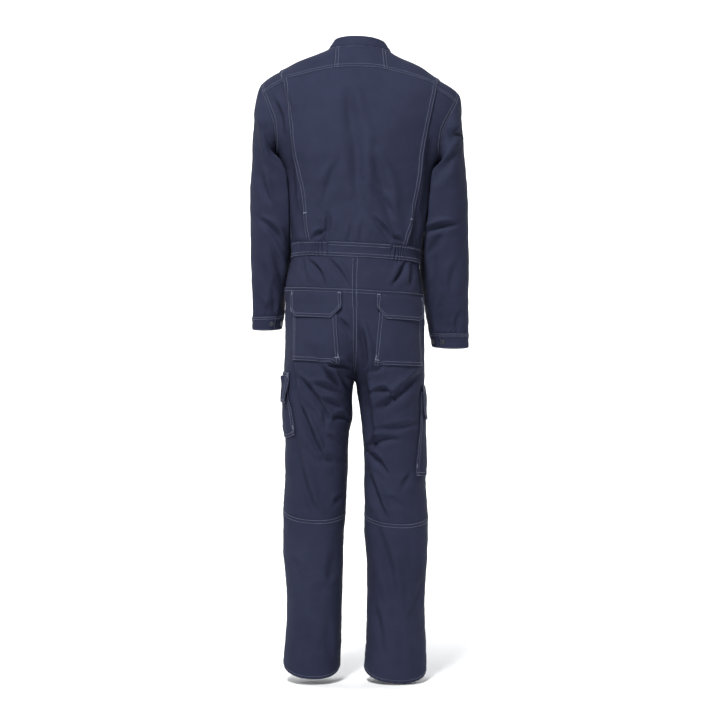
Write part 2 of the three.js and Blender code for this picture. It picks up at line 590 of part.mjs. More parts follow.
// Yoke over one shoulder: round the neck from the centre yoke to the front, out to the pleat's edge
function sideYoke({ word, side }) {
  const seam = YOKE_SEAM.slice(YOKE_SIDE).map((stop) => yokeSeam(stop.across));
  const outline = [...seam, [trunkAngle(197, -69), -69], RIDGE, [degrees(-12), -60], FRONT_CORNER];
  const rows = outline.map(([angle, z], i) => ({ share: i / (outline.length - 1), angle, z }));
  const bottom = (u) => mirrored(side, path(rows)(u));
  const top = (u) => mirrored(side, straight(neckSide(), FRONT_NECK)(u));
  cloth({
    name: `yoke_${word}`,
    on: onTrunk,
    patch: between(top, bottom, straight(top(0), bottom(0)), straight(top(1), bottom(1))),
    across: steps(outline.length - 1),
    down: steps(4),
  });
}

// The front seam of the yoke's outer end: the first third lies under the yoke.
const frontLowerSeam = (side) => {
  const under = straight(FRONT_NECK, FRONT_CORNER)(0.8);
  const end = [-armholeAngle(SHOULDER_SEAM_Z), SHOULDER_SEAM_Z];
  const rows = [
    { share: 0, angle: under[0], z: under[1] },
    { share: 1 / 3, angle: FRONT_CORNER[0], z: FRONT_CORNER[1] },
    { share: 1, angle: end[0], z: end[1] },
  ];
  return (share) => mirrored(side, path(rows)(share));
};

// The yoke's outer end, which comes out from under the pleat's edge and ends at the armhole
function shoulder({ word, side }) {
  const start = lowerSeam(side);
  const end = frontLowerSeam(side);
  const ridge = mirrored(side, [0, RIDGE[1] + 9]);
  const top = (u) => (u < 0.5 ? straight(start(0), ridge)(u * 2) : straight(ridge, end(0))(u * 2 - 1));
  const bottom = (u) => {
    const stop = mix(YOKE_STOP, -YOKE_STOP, u);
    const z = armholeStop(stop);
    return mirrored(side, [armholeAngle(z) * Math.sign(stop), z]);
  };
  cloth({
    name: `shoulder_${word}`,
    on: onTrunk,
    patch: between(top, bottom, start, end),
    across: steps(4 * YOKE_STOP),
    down: steps(3),
    lift: (u, v) => underPleat(v),
  });
}

// Front, from the neck and the front yoke seam to the waist
const NECK_SHARE = 0.4;
const YOKE_SHARE = 0.8;
function front({ word, side }) {
  const middle = degrees(-90);
  const neck = straight([middle, NECK_Z], FRONT_NECK);
  const yoke = straight(FRONT_NECK, FRONT_CORNER);
  const outer = straight(FRONT_CORNER, [-armholeAngle(SHOULDER_SEAM_Z), SHOULDER_SEAM_Z]);
  const top = (u) => {
    if (u < NECK_SHARE) return mirrored(side, neck(u / NECK_SHARE));
    if (u < YOKE_SHARE) return mirrored(side, yoke((u - NECK_SHARE) / (YOKE_SHARE - NECK_SHARE)));
    return mirrored(side, outer((u - YOKE_SHARE) / (1 - YOKE_SHARE)));
  };
  const height = levelled(NECK_Z);
  const start = (v) => mirrored(side, [middle, height(v)]);
  const end = sideEdge(side, -1);
  cloth({
    name: `front_${word}`,
    on: onTrunk,
    patch: under(top, start, end, 0.3),
    across: steps(10),
    down: SIDE_ROWS,
  });
}

// Stand collar: the neck ring carried up and in, open at the front
const COLLAR = { rise: 24, leanSide: 15, leanBack: 9, leanFront: 5, opening: 2 };
function collarForm(angle, share) {
  const foot = trunk(angle, NECK_Z);
  const c = Math.cos(angle);
  const s = Math.sin(angle);
  foot.x -= share * COLLAR.leanSide * c;
  foot.y -= share * s * (s > 0 ? COLLAR.leanBack : COLLAR.leanFront);
  foot.z += 0.7 + share * COLLAR.rise;
  return foot;
}
function collar() {
  const open = degrees(COLLAR.opening);
  const from = degrees(-90) + open;
  const to = degrees(270) - open;
  cloth({
    name: "collar",
    on: { form: collarForm, turn: 1, step: 0.05, top: 0, foot: 1 },
    patch: (u, v) => [mix(from, to, u), v],
    across: steps(28),
    down: steps(3),
    lift: 0.6,
  });
}

// Sleeves, and cuffs with the end tucked under
const SLEEVE_GAP = 3;
const SLEEVE_ROWS = [0, 0.4, 0.9, 1.5, 2.3, 3.3, 4.5, 5.7, 7, 8.3, 9.6, CUFF_STATION];
const SLEEVE_HEAD = 1.9; // the sleeve stands this proud at the top of the armhole
function sleeveTube({ word, side }) {
  cloth({
    name: `sleeve_${word}`,
    on: onSleeve(side),
    patch: (u, v) => [u * 2 * Math.PI, v * CUFF_STATION],
    across: steps(ARMHOLE_STOPS),
    down: SLEEVE_ROWS.map((station) => station / CUFF_STATION),
    lift: (u, v) => SLEEVE_HEAD * (1 - easy(v * 6)) * easy(Math.cos(u * 2 * Math.PI) + 0.4),
    round: true,
    headGap: SLEEVE_GAP,
  });
}

const CUFF = { from: 92, sweep: 390, tuckTo: 0.08, tuck: -2.6, lift: 0.6 };
function cuff({ word, side }) {
  const from = degrees(CUFF.from);
  const to = from + degrees(CUFF.sweep);
  const tucked = (u) => 1 - THREE.MathUtils.smoothstep(u, CUFF.tuckTo, CUFF.tuckTo + 0.05);
  cloth({
    name: `cuff_${word}`,
    on: onSleeve(side),
    patch: (u, v) => [mix(from, to, u), CUFF_STATION + v],
    across: steps(24),
    down: steps(2),
    lift: (u) => CUFF.lift + CUFF.tuck * tucked(u),
  });
}

// Press studs of the cuffs: one closes it, one more lies past it for a narrower fit.
const STUD = { radius: 6, height: 2.6, facets: 12 };
const CUFF_STUDS = [
  { name: "cuff_stud_left", side: LEFT, angle: 106, along: 11.52 },
  { name: "cuff_stud_right", side: RIGHT, angle: 112, along: 11.55 },
  { name: "cuff_spare_stud_left", side: LEFT, angle: 152, along: 11.52 },
  { name: "cuff_spare_stud_right", side: RIGHT, angle: 150, along: 11.55 },
];
function stud({ name, side, angle, along }) {
  const on = onSleeve(side);
  const normal = normalOf(on, degrees(angle), along);
  const middle = CUFF.lift + 0.5 + STUD.height / 2;
  const geometry = new THREE.CylinderGeometry(STUD.radius * 0.8, STUD.radius, STUD.height, STUD.facets);
  const turn = new THREE.Quaternion().setFromUnitVectors(new THREE.Vector3(0, 1, 0), normal);
  geometry.applyQuaternion(turn);
  const centre = on.form(degrees(angle), along).addScaledVector(normal, middle);
  geometry.translate(centre.x, centre.y, centre.z);
  mesh(name, geometry, GUNMETAL, 0.9, 0.4);
}

// Waistband: flat in the middle of the back, elasticated beside it, flat again in front
const WAIST_FLAT = { [LEFT]: 69, [RIGHT]: 88 };
const GATHERS = { count: 9, high: 1.3 };
const band = (from, to) => (u, v) => [mix(from, to, u), mix(WAIST_TOP_Z, WAIST_BOTTOM_Z, v)];
const flatEnd = (side) => mirrored(side, [trunkAngle(WAIST_FLAT[side], WAIST_TOP_Z), 0])[0];
function waistBack() {
  cloth({
    name: "waistband_back",
    on: onTrunk,
    patch: band(flatEnd(LEFT), flatEnd(RIGHT)),
    across: steps(7),
    down: steps(2),
    lift: 0.4,
  });
}
function waistSides({ word, side }) {
  const seam = mirrored(side, [0, 0])[0];
  cloth({
    name: `waist_elastic_${word}`,
    on: onTrunk,
    patch: band(seam, flatEnd(side)),
    across: steps(GATHERS.count * 3),
    down: steps(2),
    lift: (u) => GATHERS.high * Math.sin(u * GATHERS.count * 2 * Math.PI),
  });
  const middle = mirrored(side, [degrees(-90), 0])[0];
  cloth({
    name: `waistband_front_${word}`,
    on: onTrunk,
    patch: band(seam, middle),
    across: steps(8),
    down: steps(2),
    lift: 0.4,
  });
}

// Hip yoke, from the waistband to the hip seam, halved by the centre back seam
function hipYoke({ word, side }) {
  cloth({
    name: `hip_yoke_${word}`,
    on: onLeg(side),
    patch: (u, v) => [mix(0, Math.PI / 2, u), mix(WAIST_BOTTOM_Z, HIP_SEAM_Z, v)],
    across: steps(8),
    down: steps(3),
  });
}

// Trouser back, from the hip seam to the knee seam, then the back of the shin
const kneeLine = (angle) => KNEE_SIDE_Z - KNEE_DIP * Math.sin(angle);
const hemLine = (angle) => HEM_SIDE_Z - HEM_DIP * Math.sin(angle);
const inseam = (side, facing, from, to) => (v) => {
  const z = mix(from, to, v);
  return [innerAngle(side, z) * facing, z];
};
const legRows = (from, to, above, below) => {
  const crotch = (from - CROTCH_Z) / (from - to);
  return [...steps(above).map((v) => v * crotch), ...steps(below).slice(1).map((v) => mix(crotch, 1, v))];
};
function backLeg({ word, side }) {
  const top = (u) => [mix(0, Math.PI / 2, u), HIP_SEAM_Z];
  const bottom = (u) => [u * Math.PI, kneeLine(u * Math.PI)];
  const outside = (v) => [0, mix(HIP_SEAM_Z, KNEE_SIDE_Z, v)];
  cloth({
    name: `back_leg_${word}`,
    on: onLeg(side),
    patch: between(top, bottom, outside, inseam(side, 1, HIP_SEAM_Z, KNEE_SIDE_Z)),
    across: steps(12),
    down: legRows(HIP_SEAM_Z, KNEE_SIDE_Z, 7, 9),
  });
  cloth({
    name: `back_shin_${word}`,
    on: onLeg(side),
    patch: (u, v) => [u * Math.PI, mix(kneeLine(u * Math.PI), hemLine(u * Math.PI), v)],
    across: steps(10),
    down: steps(9),
  });
}

// Trouser front, in one piece from the waist to the hem
function frontLeg({ word, side }) {
  const top = (u) => [-mix(0, Math.PI / 2, u), WAIST_BOTTOM_Z];
  const bottom = (u) => [-u * Math.PI, hemLine(-u * Math.PI)];
  const outside = (v) => [0, mix(WAIST_BOTTOM_Z, HEM_SIDE_Z, v)];
  cloth({
    name: `front_leg_${word}`,
    on: onLeg(side),
    patch: between(top, bottom, outside, inseam(side, -1, WAIST_BOTTOM_Z, HEM_SIDE_Z)),
    across: steps(9),
    down: legRows(WAIST_BOTTOM_Z, HEM_SIDE_Z, 8, 15),
  });
}

// Covered front placket, over both fronts, the waistband and the fly
const PLACKET = { half: 27, top: -1.5, foot: -738, lift: 3.1 };
function frontMiddle(across, z) {
  const side = across < 0 ? RIGHT : LEFT;
  if (z > LEGS[0].z) return trunk(...mirrored(side, [-trunkAngle(Math.abs(across), z), z]));
  return leg(side, -legAngle(side, Math.abs(across), z), z);
}
function placket() {
  cloth({
    name: "front_placket",
    on: { form: frontMiddle, turn: 1, step: 1.5, top: NECK_Z, foot: -800 },
    patch: (u, v) => [mix(PLACKET.half, -PLACKET.half, u), mix(PLACKET.top, PLACKET.foot, v)],
    across: steps(4),
    down: steps(26),
    lift: PLACKET.lift,
  });
}

// Pockets and flaps lie on the legs: near and far are distances from the middle seam, low and high their
// heights, lift the height of their outer face over the leg.
const ON_SEAT = [
  { name: "back_pocket_left", side: LEFT, far: 150, near: 38, high: -612, low: -773, lift: 3.8 },
  { name: "back_pocket_right", side: RIGHT, far: 162, near: 49, high: -609, low: -771, lift: 3.8 },
  { name: "back_flap_left", side: LEFT, far: 153, near: 35, high: -603, low: -664, lift: 6.6 },
  { name: "back_flap_right", side: RIGHT, far: 165, near: 46, high: -600, low: -664, lift: 6.6 },
];
// A flap is sewn down along its top, and rises from there over the pocket's mouth.
const FLAP_TOP = { share: 0.14, lift: 3 };
const FLAP_ROWS = [0, FLAP_TOP.share, 0.55, 1];
const flapLift = (lift) => (u, v) => mix(FLAP_TOP.lift, lift, easy(v / FLAP_TOP.share));
// The lower corners of a back flap are cut off: share of its width, and height lost
const FAR_BEVEL = { share: 0.1, cut: 14 };
const NEAR_BEVEL = { share: 0.21, cut: 27 };
const BEVELLED_ACROSS = [0, FAR_BEVEL.share, 0.27, 0.44, 0.62, 1 - NEAR_BEVEL.share, 1];
function onSeat({ name, side, far, near, high, low, lift }) {
  const bevelled = name.includes("flap");
  const edge = (u) => {
    if (!bevelled) return low;
    const lostFar = FAR_BEVEL.cut * Math.max(0, 1 - u / FAR_BEVEL.share);
    const lostNear = NEAR_BEVEL.cut * Math.max(0, 1 - (1 - u) / NEAR_BEVEL.share);
    return low + lostFar + lostNear;
  };
  const across = bevelled ? BEVELLED_ACROSS : steps(6);
  cloth({
    name,
    on: onLeg(side),
    patch: (u, v) => {
      const z = mix(high, edge(u), v);
      return [legAngle(side, mix(far, near, u), z), z];
    },
    across,
    down: bevelled ? FLAP_ROWS : steps(6),
    lift: bevelled ? flapLift(lift) : lift,
  });
}

// Pockets round the side of the thigh and on the knee: angles round the leg in degrees. A bag stands off
// by bulge more in its middle than at its edges, and a flap's lower corners are rounded by cut.
const ROUND_LEG = [
  { name: "thigh_pocket_left", side: LEFT, from: 36, to: -52, high: -814, low: -972, lift: 2.8, bulge: 6 },
  { name: "thigh_flap_left", side: LEFT, from: 38, to: -54, high: -799, low: -884, lift: 11.5 },
  { name: "rule_pocket_right", side: RIGHT, from: 34, to: -36, high: -840, low: -1046, lift: 2.7, bulge: 1.5 },
  { name: "rule_flap_right", side: RIGHT, from: 30, to: -38, high: -826, low: -910, lift: 6.7, cut: 12 },
  { name: "knee_pocket_left", side: LEFT, from: -12, to: -150, high: -1064, low: -1266, lift: 3, bulge: 2 },
  { name: "knee_pocket_right", side: RIGHT, from: -12, to: -150, high: -1064, low: -1266, lift: 3, bulge: 2 },
];
function roundLeg({ name, side, from, to, high, low, lift, bulge = 0, cut = 0 }) {
  const rise = (share) => easy(Math.min(share, 1 - share) / 0.2);
  const isFlap = name.includes("flap");
  const bagLift = (u, v) => lift + bulge * rise(u) * easy((1 - v) / 0.15);
  cloth({
    name,
    on: onLeg(side),
    patch: (u, v) => [degrees(mix(from, to, u)), mix(high, low + cut * (1 - rise(u)), v)],
    across: steps(8),
    down: isFlap ? FLAP_ROWS : steps(8),
    lift: isFlap ? flapLift(lift) : bagLift,
  });
}

centreBack();
centreYoke();
collar();
placket();
waistBack();
for (const made of [sideBack, sideYoke, shoulder, front, sleeveTube, cuff, waistSides]) sides.forEach(made);
for (const made of [hipYoke, backLeg, frontLeg]) sides.forEach(made);
CUFF_STUDS.forEach(stud);
ON_SEAT.forEach(onSeat);
ROUND_LEG.forEach(roundLeg);

export default suit;
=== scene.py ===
import math

import bpy
import numpy as np
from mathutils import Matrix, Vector


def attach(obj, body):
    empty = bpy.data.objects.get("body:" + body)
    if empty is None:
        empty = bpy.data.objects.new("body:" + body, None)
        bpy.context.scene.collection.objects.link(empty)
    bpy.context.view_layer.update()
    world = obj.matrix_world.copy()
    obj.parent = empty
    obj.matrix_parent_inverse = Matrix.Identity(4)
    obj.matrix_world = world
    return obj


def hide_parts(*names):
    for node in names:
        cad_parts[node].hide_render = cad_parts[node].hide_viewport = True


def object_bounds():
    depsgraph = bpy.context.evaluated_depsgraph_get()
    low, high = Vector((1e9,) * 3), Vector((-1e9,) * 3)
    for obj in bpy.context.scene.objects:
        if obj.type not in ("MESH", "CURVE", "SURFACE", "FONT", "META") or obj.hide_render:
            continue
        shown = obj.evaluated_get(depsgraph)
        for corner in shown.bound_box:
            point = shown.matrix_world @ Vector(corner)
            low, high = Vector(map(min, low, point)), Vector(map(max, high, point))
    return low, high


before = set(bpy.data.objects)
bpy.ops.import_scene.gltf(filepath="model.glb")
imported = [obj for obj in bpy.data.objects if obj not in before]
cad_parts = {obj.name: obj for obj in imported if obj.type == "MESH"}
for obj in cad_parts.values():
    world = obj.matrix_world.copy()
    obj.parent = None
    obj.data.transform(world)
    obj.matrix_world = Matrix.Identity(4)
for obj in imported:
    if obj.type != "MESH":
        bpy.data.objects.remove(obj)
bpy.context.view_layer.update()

# The centre back hangs between two action pleats, from the yoke seam to the waistband. It lies on the trunk,
# a rounded ring at each height, 0.32 m wide at the waist and 0.50 m at the shoulder tips. The right shoulder
# is a little lower. Sizes in the tables are millimetres; z is the height below the neck.
SQUARENESS = 2.2
LEAN = 0.05


def table(columns, *rows):
    """A short table: one array for each named column."""
    return dict(zip(columns.split(), np.array(rows, float).T))


TRUNK = table(
    "z mid half back front arm dip rise",
    (0, 0, 78, 60, 64, 0, 62, 7),
    (-18, 0, 115, 80, 77, 0, 67, 4),
    (-38, 0, 162, 97, 87, 0, 68, 2),
    (-56, 0, 192, 107, 94, 236, 66, 0),
    (-75, 0, 224, 116, 100, 241, 61, 0),
    (-93, 0, 243, 123, 104, 243, 55, 0),
    (-110, 0, 250, 128, 108, 243, 50, 0),
    (-128, 1, 252, 132, 112, 237, 44, 0),
    (-156, 2, 250, 136, 117, 224, 36, 0),
    (-190, 4, 241, 138, 122, 210, 26, 0),
    (-214, 5, 231, 138, 125, 205, 20, 0),
    (-240, 6, 219, 137, 128, 203, 14, 0),
    (-270, 6, 203, 136, 130, 203, 8, 0),
    (-310, 4, 188, 132, 131, 205, 3, 0),
    (-360, 3, 178, 127, 129, 208, 0, 0),
    (-420, 5, 170, 120, 126, 0, 0, 0),
    (-470, 9, 162, 115, 123, 0, 0, 0),
    (-507, 11, 158, 113, 121, 0, 0, 0),
    (-545, 13, 163, 121, 122, 0, 0, 0),
    (-600, 14, 173, 132, 123, 0, 0, 0),
    (-640, 13, 174, 137, 122, 0, 0, 0),
)
# Folds are troughs pressed into the cloth, each with a softer ridge along one side. They run from (x, z) to
# (tox, toz), bow sideways in their middle, and are seen from behind (face 1) or from the front (face -1).
FOLD = "face x z bow tox toz wide deep"
FOLDS = {
    "trunk": table(
        FOLD,
        (1, 30, -120, 6, 2, -390, 20, 4.6),
        (1, -30, -270, 5, -74, -430, 16, 4),
        (1, 24, -106, 0, 24, -199, 14, 1.8),
        (1, 10, -231, 2, 10, -353, 12, 1.8),
        (1, 56, -290, -3, 88, -380, 11, 3),
        (1, -24, -351, 4, -81, -415, 10, 2.2),
        (1, 80, -410, 3, 84, -474, 7, 3.6),
        (1, 116, -472, 3, 84, -454, 7, 3.6),
        (1, -34, -425, 3, -76, -478, 8, 4),
        (1, -78, -466, 1, -106, -480, 6, 3),
        (1, 190, -108, 4, 176, -176, 10, 3.2),
        (1, 212, -130, 4, 192, -210, 9, 4),
        (1, -138, -400, 3, -128, -478, 9, 3.6),
        (1, 146, -390, -3, 136, -478, 10, 3.4),
        (1, 176, -220, -4, 160, -400, 11, 3.6),
        (1, -176, -230, 4, -156, -400, 11, 3.6),
        (1, 20, -440, 3, 32, -482, 7, 1.6),
        (1, -8, -430, -3, -4, -482, 8, 1.5),
        (-1, 120, -230, 8, 70, -420, 24, 5),
        (-1, -110, -240, -8, -60, -420, 24, 5),
        (-1, 185, -190, 6, 120, -260, 11, 3),
        (-1, -180, -205, -6, -118, -270, 11, 3),
        (-1, 90, -400, 4, 60, -482, 9, 2.6),
        (-1, -70, -410, -4, -50, -482, 9, 2.6),
        (-1, 130, -420, 3, 118, -482, 8, 2.4),
        (-1, -122, -425, -3, -105, -482, 8, 2.4),
    ),
    "left_leg": table(
        FOLD,
        (1, 150, -810, 3, 85, -900, 8, 5),
        (1, 86, -890, 2, 84, -930, 8, 3.6),
        (1, 163, -790, -4, 146, -890, 9, 6),
        (1, 144, -888, -4, 93, -1004, 9, 7),
        (1, 90, -789, 2, 52, -836, 7, 5.5),
        (1, 78, -785, 8, 18, -790, 7, 4),
        (1, 122, -830, 4, 50, -850, 9, 3),
        (1, 92, -866, 3, 44, -892, 8, 3),
        (1, 68, -914, 8, 27, -916, 8, 3.6),
        (1, 86, -953, 2, 51, -978, 8, 2.2),
        (1, 158, -966, -9, 111, -1140, 13, 5.5),
        (1, 100, -1016, 4, 60, -1022, 12, 3),
        (1, 64, -1126, 2, 40, -1102, 7, 2),
        (1, 42, -818, 2, 28, -842, 7, 3.4),
        (1, 141, -525, -2, 130, -576, 7, 3.6),
        (1, 125, -528, 5, 89, -583, 8, 4.6),
        (1, 76, -524, 3, 28, -590, 7, 4.2),
        (1, 48, -672, 2, 20, -712, 8, 4.6),
        (1, 135, -735, 6, 110, -770, 16, 1.8),
        (1, 168, -1257, 3, 153, -1300, 10, 2.6),
        (1, 110, -1322, 4, 92, -1350, 18, 2.4),
        (1, 66, -1240, 4, 80, -1330, 13, 2),
        (1, 150, -1400, 5, 128, -1500, 16, 2),
        (1, 78, -1420, -4, 70, -1510, 12, 1.8),
        (-1, 30, -800, 10, 150, -890, 15, 5),
        (-1, 24, -850, 7, 120, -960, 12, 3.4),
        (-1, 60, -1290, -8, 150, -1350, 14, 4),
        (-1, 60, -1330, 6, 140, -1300, 10, 2.6),
        (-1, 130, -560, 4, 96, -690, 13, 2.6),
        (-1, 120, -1400, 5, 90, -1490, 14, 2.4),
    ),
    "right_leg": table(
        FOLD,
        (1, -142, -808, 5, -48, -888, 12, 5.4),
        (1, -30, -852, 12, -82, -860, 8, 4),
        (1, -15, -993, 13, -94, -964, 10, 4.6),
        (1, -16, -998, 6, -64, -1046, 9, 4.5),
        (1, -46, -942, -3, -136, -926, 10, 2.8),
        (1, -21, -1051, -3, -58, -1148, 11, 5.5),
        (1, -103, -1086, 0, -125, -1051, 9, 2.2),
        (1, -60, -1110, 3, -110, -1135, 10, 2),
        (1, -112, -532, 2, -82, -583, 8, 4.4),
        (1, -128, -534, 2, -124, -580, 8, 3.2),
        (1, 2, -688, 2, -14, -806, 11, 8),
        (1, -2, -800, -2, -28, -968, 16, 8),
        (1, -60, -770, 4, -20, -800, 9, 2),
        (1, -41, -1184, 4, -89, -1374, 14, 4.6),
        (1, -32, -1370, 3, -56, -1482, 10, 2.6),
        (1, -151, -1323, 3, -127, -1402, 11, 2.8),
        (1, -120, -1215, -5, -140, -1300, 14, 2),
        (1, -95, -1440, 3, -106, -1520, 13, 1.8),
        (-1, -10, -800, -10, -130, -880, 15, 5),
        (-1, 0, -845, -7, -104, -950, 12, 3.4),
        (-1, -40, -1290, 7, -140, -1340, 14, 4),
        (-1, -50, -1335, -6, -130, -1300, 10, 2.6),
        (-1, -100, -560, -4, -74, -700, 13, 2.6),
        (-1, -110, -1400, -5, -80, -1490, 14, 2.4),
    ),
    "left_sleeve": table(
        FOLD,
        (1, 250, -140, 2, 208, -206, 9, 8),
        (1, 234, -208, -3, 192, -300, 9, 6),
        (1, 250, -285, -5, 224, -376, 9, 4.6),
        (1, 250, -420, 8, 198, -482, 9, 4.6),
        (1, 218, -490, 2, 196, -568, 9, 4),
        (1, 262, -180, -4, 236, -300, 11, 3),
        (1, 250, -520, 4, 236, -600, 11, 2.4),
        (1, 222, -590, 3, 216, -648, 8, 2.2),
        (1, 256, -610, 3, 248, -650, 8, 1.8),
        (-1, 262, -300, 8, 205, -400, 14, 5),
        (-1, 264, -380, 6, 200, -440, 11, 4),
        (-1, 262, -460, 5, 196, -480, 10, 4),
        (-1, 258, -150, 3, 214, -225, 12, 5),
        (-1, 254, -540, 4, 222, -610, 11, 2.6),
    ),
    "right_sleeve": table(
        FOLD,
        (1, -236, -176, -2, -194, -232, 8, 8),
        (1, -250, -204, -6, -190, -268, 9, 7.5),
        (1, -236, -262, -6, -186, -350, 10, 3.4),
        (1, -236, -434, -6, -172, -454, 8, 4.6),
        (1, -206, -456, 3, -176, -500, 9, 3),
        (1, -190, -470, -4, -182, -560, 10, 2.6),
        (1, -246, -520, -4, -226, -600, 12, 2.2),
        (1, -205, -620, -3, -196, -690, 8, 2.2),
        (1, -252, -650, -3, -244, -695, 8, 1.8),
        (-1, -258, -320, -8, -190, -420, 14, 5),
        (-1, -258, -400, -6, -186, -455, 11, 4),
        (-1, -256, -480, -5, -176, -500, 10, 4),
        (-1, -252, -165, -3, -206, -240, 12, 5),
        (-1, -248, -570, -4, -206, -640, 11, 2.6),
    ),
}


def mix(a, b, share):
    return a + (b - a) * share


def ease(share):
    share = np.clip(share, 0, 1)
    return share * share * (3 - 2 * share)


def bent(value, power):
    return np.sign(value) * np.abs(value) ** power


def column(rows, name, at, key="z"):
    """The smooth value of one column of a table, at a place along its key."""
    place, value, at = rows[key], rows[name], np.asarray(at, float)
    if place[0] > place[-1]:
        place, at = -place, -at
    last = len(place) - 1
    at = np.clip(at, place[0], place[-1])
    low, high = np.maximum(np.arange(last + 1) - 1, 0), np.minimum(np.arange(last + 1) + 1, last)
    slope = (value[high] - value[low]) / (place[high] - place[low])
    i = np.clip(np.searchsorted(place, at, side="right") - 1, 0, last - 1)
    step = place[i + 1] - place[i]
    t = (at - place[i]) / step
    rest = (t**3 - 2 * t**2 + t) * slope[i] + (t**3 - t**2) * slope[i + 1]
    return mix(value[i], value[i + 1], 3 * t**2 - 2 * t**3) + step * rest


def relief(on, x, z, sine):
    """How far the folds push the cloth out at (x, z), on the side that the sine of the ring's angle says."""
    total = np.zeros(np.shape(x))
    for face, fx, fz, bow, tox, toz, wide, deep in zip(*FOLDS[on].values()):
        run = np.array([tox - fx, toz - fz])
        length = np.hypot(*run)
        along = ((x - fx) * run[0] + (z - fz) * run[1]) / length
        t = np.clip(along / length, 0, 1)
        beside = ((x - fx) * run[1] - (z - fz) * run[0]) / length - bow * 4 * t * (1 - t)
        past = np.abs(along - t * length)
        slim = wide * (0.72 + 0.28 * np.sin(np.pi * np.clip(t * 1.15, 0, 1)))
        upper = beside / slim * (1 if tox <= fx else -1)
        ridges = 0.85 * np.exp(-(((upper - 1.5) / 0.85) ** 2)) + 0.3 * np.exp(-(((upper + 2) / 1.2) ** 2))
        near = np.exp(-(upper**2)) - ridges
        ends = np.exp(-((past / wide) ** 2)) * (0.35 + 0.65 * np.sin(np.pi * t))
        total -= 1.9 * deep * near * ends * ease((sine * face - 0.05) / 0.35)
    return total


def waist_sag(sine, z):
    """The elastic draws the waist down a little at the sides."""
    return 7 * (1 - np.clip(sine, 0, 1)) ** 2 * np.exp(-(((z + 501) / 55) ** 2))


def trunk(angle, z):
    """Points of the trunk and the way out from it. Angle 0 is the wearer's left side, 90 degrees behind."""
    c, s = np.cos(angle), np.sin(angle)
    half = column(TRUNK, "half", z)
    depth = np.where(s > 0, column(TRUNK, "back", z), column(TRUNK, "front", z))
    x = column(TRUNK, "mid", z) + half * bent(c, 2 / SQUARENESS)
    y = depth * bent(s, 2 / SQUARENESS)
    rise = column(TRUNK, "rise", z) * np.clip(s, 0, 1) ** 1.5
    dip = column(TRUNK, "dip", z) * np.clip(-s, 0, 1) ** 1.5
    point = np.stack([x, y, z + rise - dip + LEAN * x - waist_sag(s, z)], -1)
    out = np.stack([c / half, s / depth, 0 * c], -1)
    out /= np.linalg.norm(out, axis=-1, keepdims=True)
    return point + out * relief("trunk", x, point[..., 2], s)[..., None], out


def ring_angle(distance, half):
    """The angle where a ring is a given distance from its middle."""
    return np.arccos(bent(np.clip(distance / half, -1, 1), SQUARENESS / 2))


def trunk_angle(distance, z):
    return ring_angle(distance, column(TRUNK, "half", z))


def mirrored(side, place):
    """A place on the trunk is given as on the wearer's left, side 1, and mirrored for the right, side -1."""
    angle, z = place
    return np.stack(np.broadcast_arrays(angle if side > 0 else math.pi - angle, z))


def straight(start, end):
    return lambda share: np.stack([mix(start[0], end[0], share), mix(start[1], end[1], share)])


def between(top, bottom, start, end):
    """A patch between four edges, each a function from 0 to 1 that gives an angle and a height."""

    def patch(u, v):
        zero, one = np.zeros(1), np.ones(1)
        corners = [edge(at).reshape(2, 1, 1) for edge in (top, bottom) for at in (zero, one)]
        flat = mix(mix(corners[0], corners[1], u), mix(corners[2], corners[3], u), v)
        return mix(top(u), bottom(u), v) + mix(start(v), end(v), u) - flat

    return patch


def under(top, start, end, depth):
    """Straight rows between two edges. Its first row follows a curved top, which fades by depth."""

    def patch(u, v):
        first, last = (top(np.full(1, at)).reshape(2, 1, 1) for at in (0.0, 1.0))
        curve = top(u) - mix(first, last, u)
        return mix(start(v), end(v), u) + np.clip(1 - v / depth, 0, 1) ** 1.5 * curve

    return patch


def spread(length, step):
    """Shares along a side of the cloth: step apart, and closer along the two edges, where it is sewn."""
    rim = [0, 0.7, 2.4, 4.8, 7.4, 10]
    if length < 44:
        return np.linspace(0, 1, max(4, round(length / 2.4)) + 1)
    middle = np.linspace(12.5, length - 12.5, max(2, round((length - 25) / step)) + 1)
    return np.concatenate([rim, middle, length - np.array(rim[::-1])]) / length


def facing(points, out):
    """Unit normals of a grid of points, on the side of out."""
    normal = np.cross(np.gradient(points, axis=0), np.gradient(points, axis=1))
    normal /= np.linalg.norm(normal, axis=-1, keepdims=True)
    return normal * np.sign((normal * out).sum())


def run_length(points, axis):
    """Distance run along each line of a grid, from its first point."""
    gap = np.linalg.norm(np.diff(points, axis=axis), axis=-1)
    start = np.zeros_like(np.take(gap, [0], axis=axis))
    return np.concatenate([start, np.cumsum(gap, axis=axis)], axis=axis)


def sewn(distance, along, kind, seed):
    """Height of the cloth near a sewn edge: seam allowances under it, a rolled edge and puckers across it."""
    raised, roll, pucker, wave, reach = {
        "felled": (0.55, -0.7, 0.34, 17, 8),
        "folded": (0.9, -0.5, 0.3, 19, 8),
        "hem": (0.5, -0.3, 0.4, 21, 9),
        "gathered": (0.4, -0.6, 1.0, 12.5, 17),
        "plain": (0.0, -0.6, 0.12, 17, 8),
    }[kind]
    ripple = np.sin(2 * np.pi * along / wave + seed + 1.4 * np.sin(along / 23 + 2 * seed))
    ripple *= 0.65 + 0.35 * np.sin(along / 37 + 3 * seed)
    puckers = pucker * ripple * np.exp(-(((distance - 4) / reach) ** 2))
    return raised * (1 - ease((distance - 10) / 3)) + puckers + roll * np.exp(-((distance / 0.9) ** 2))


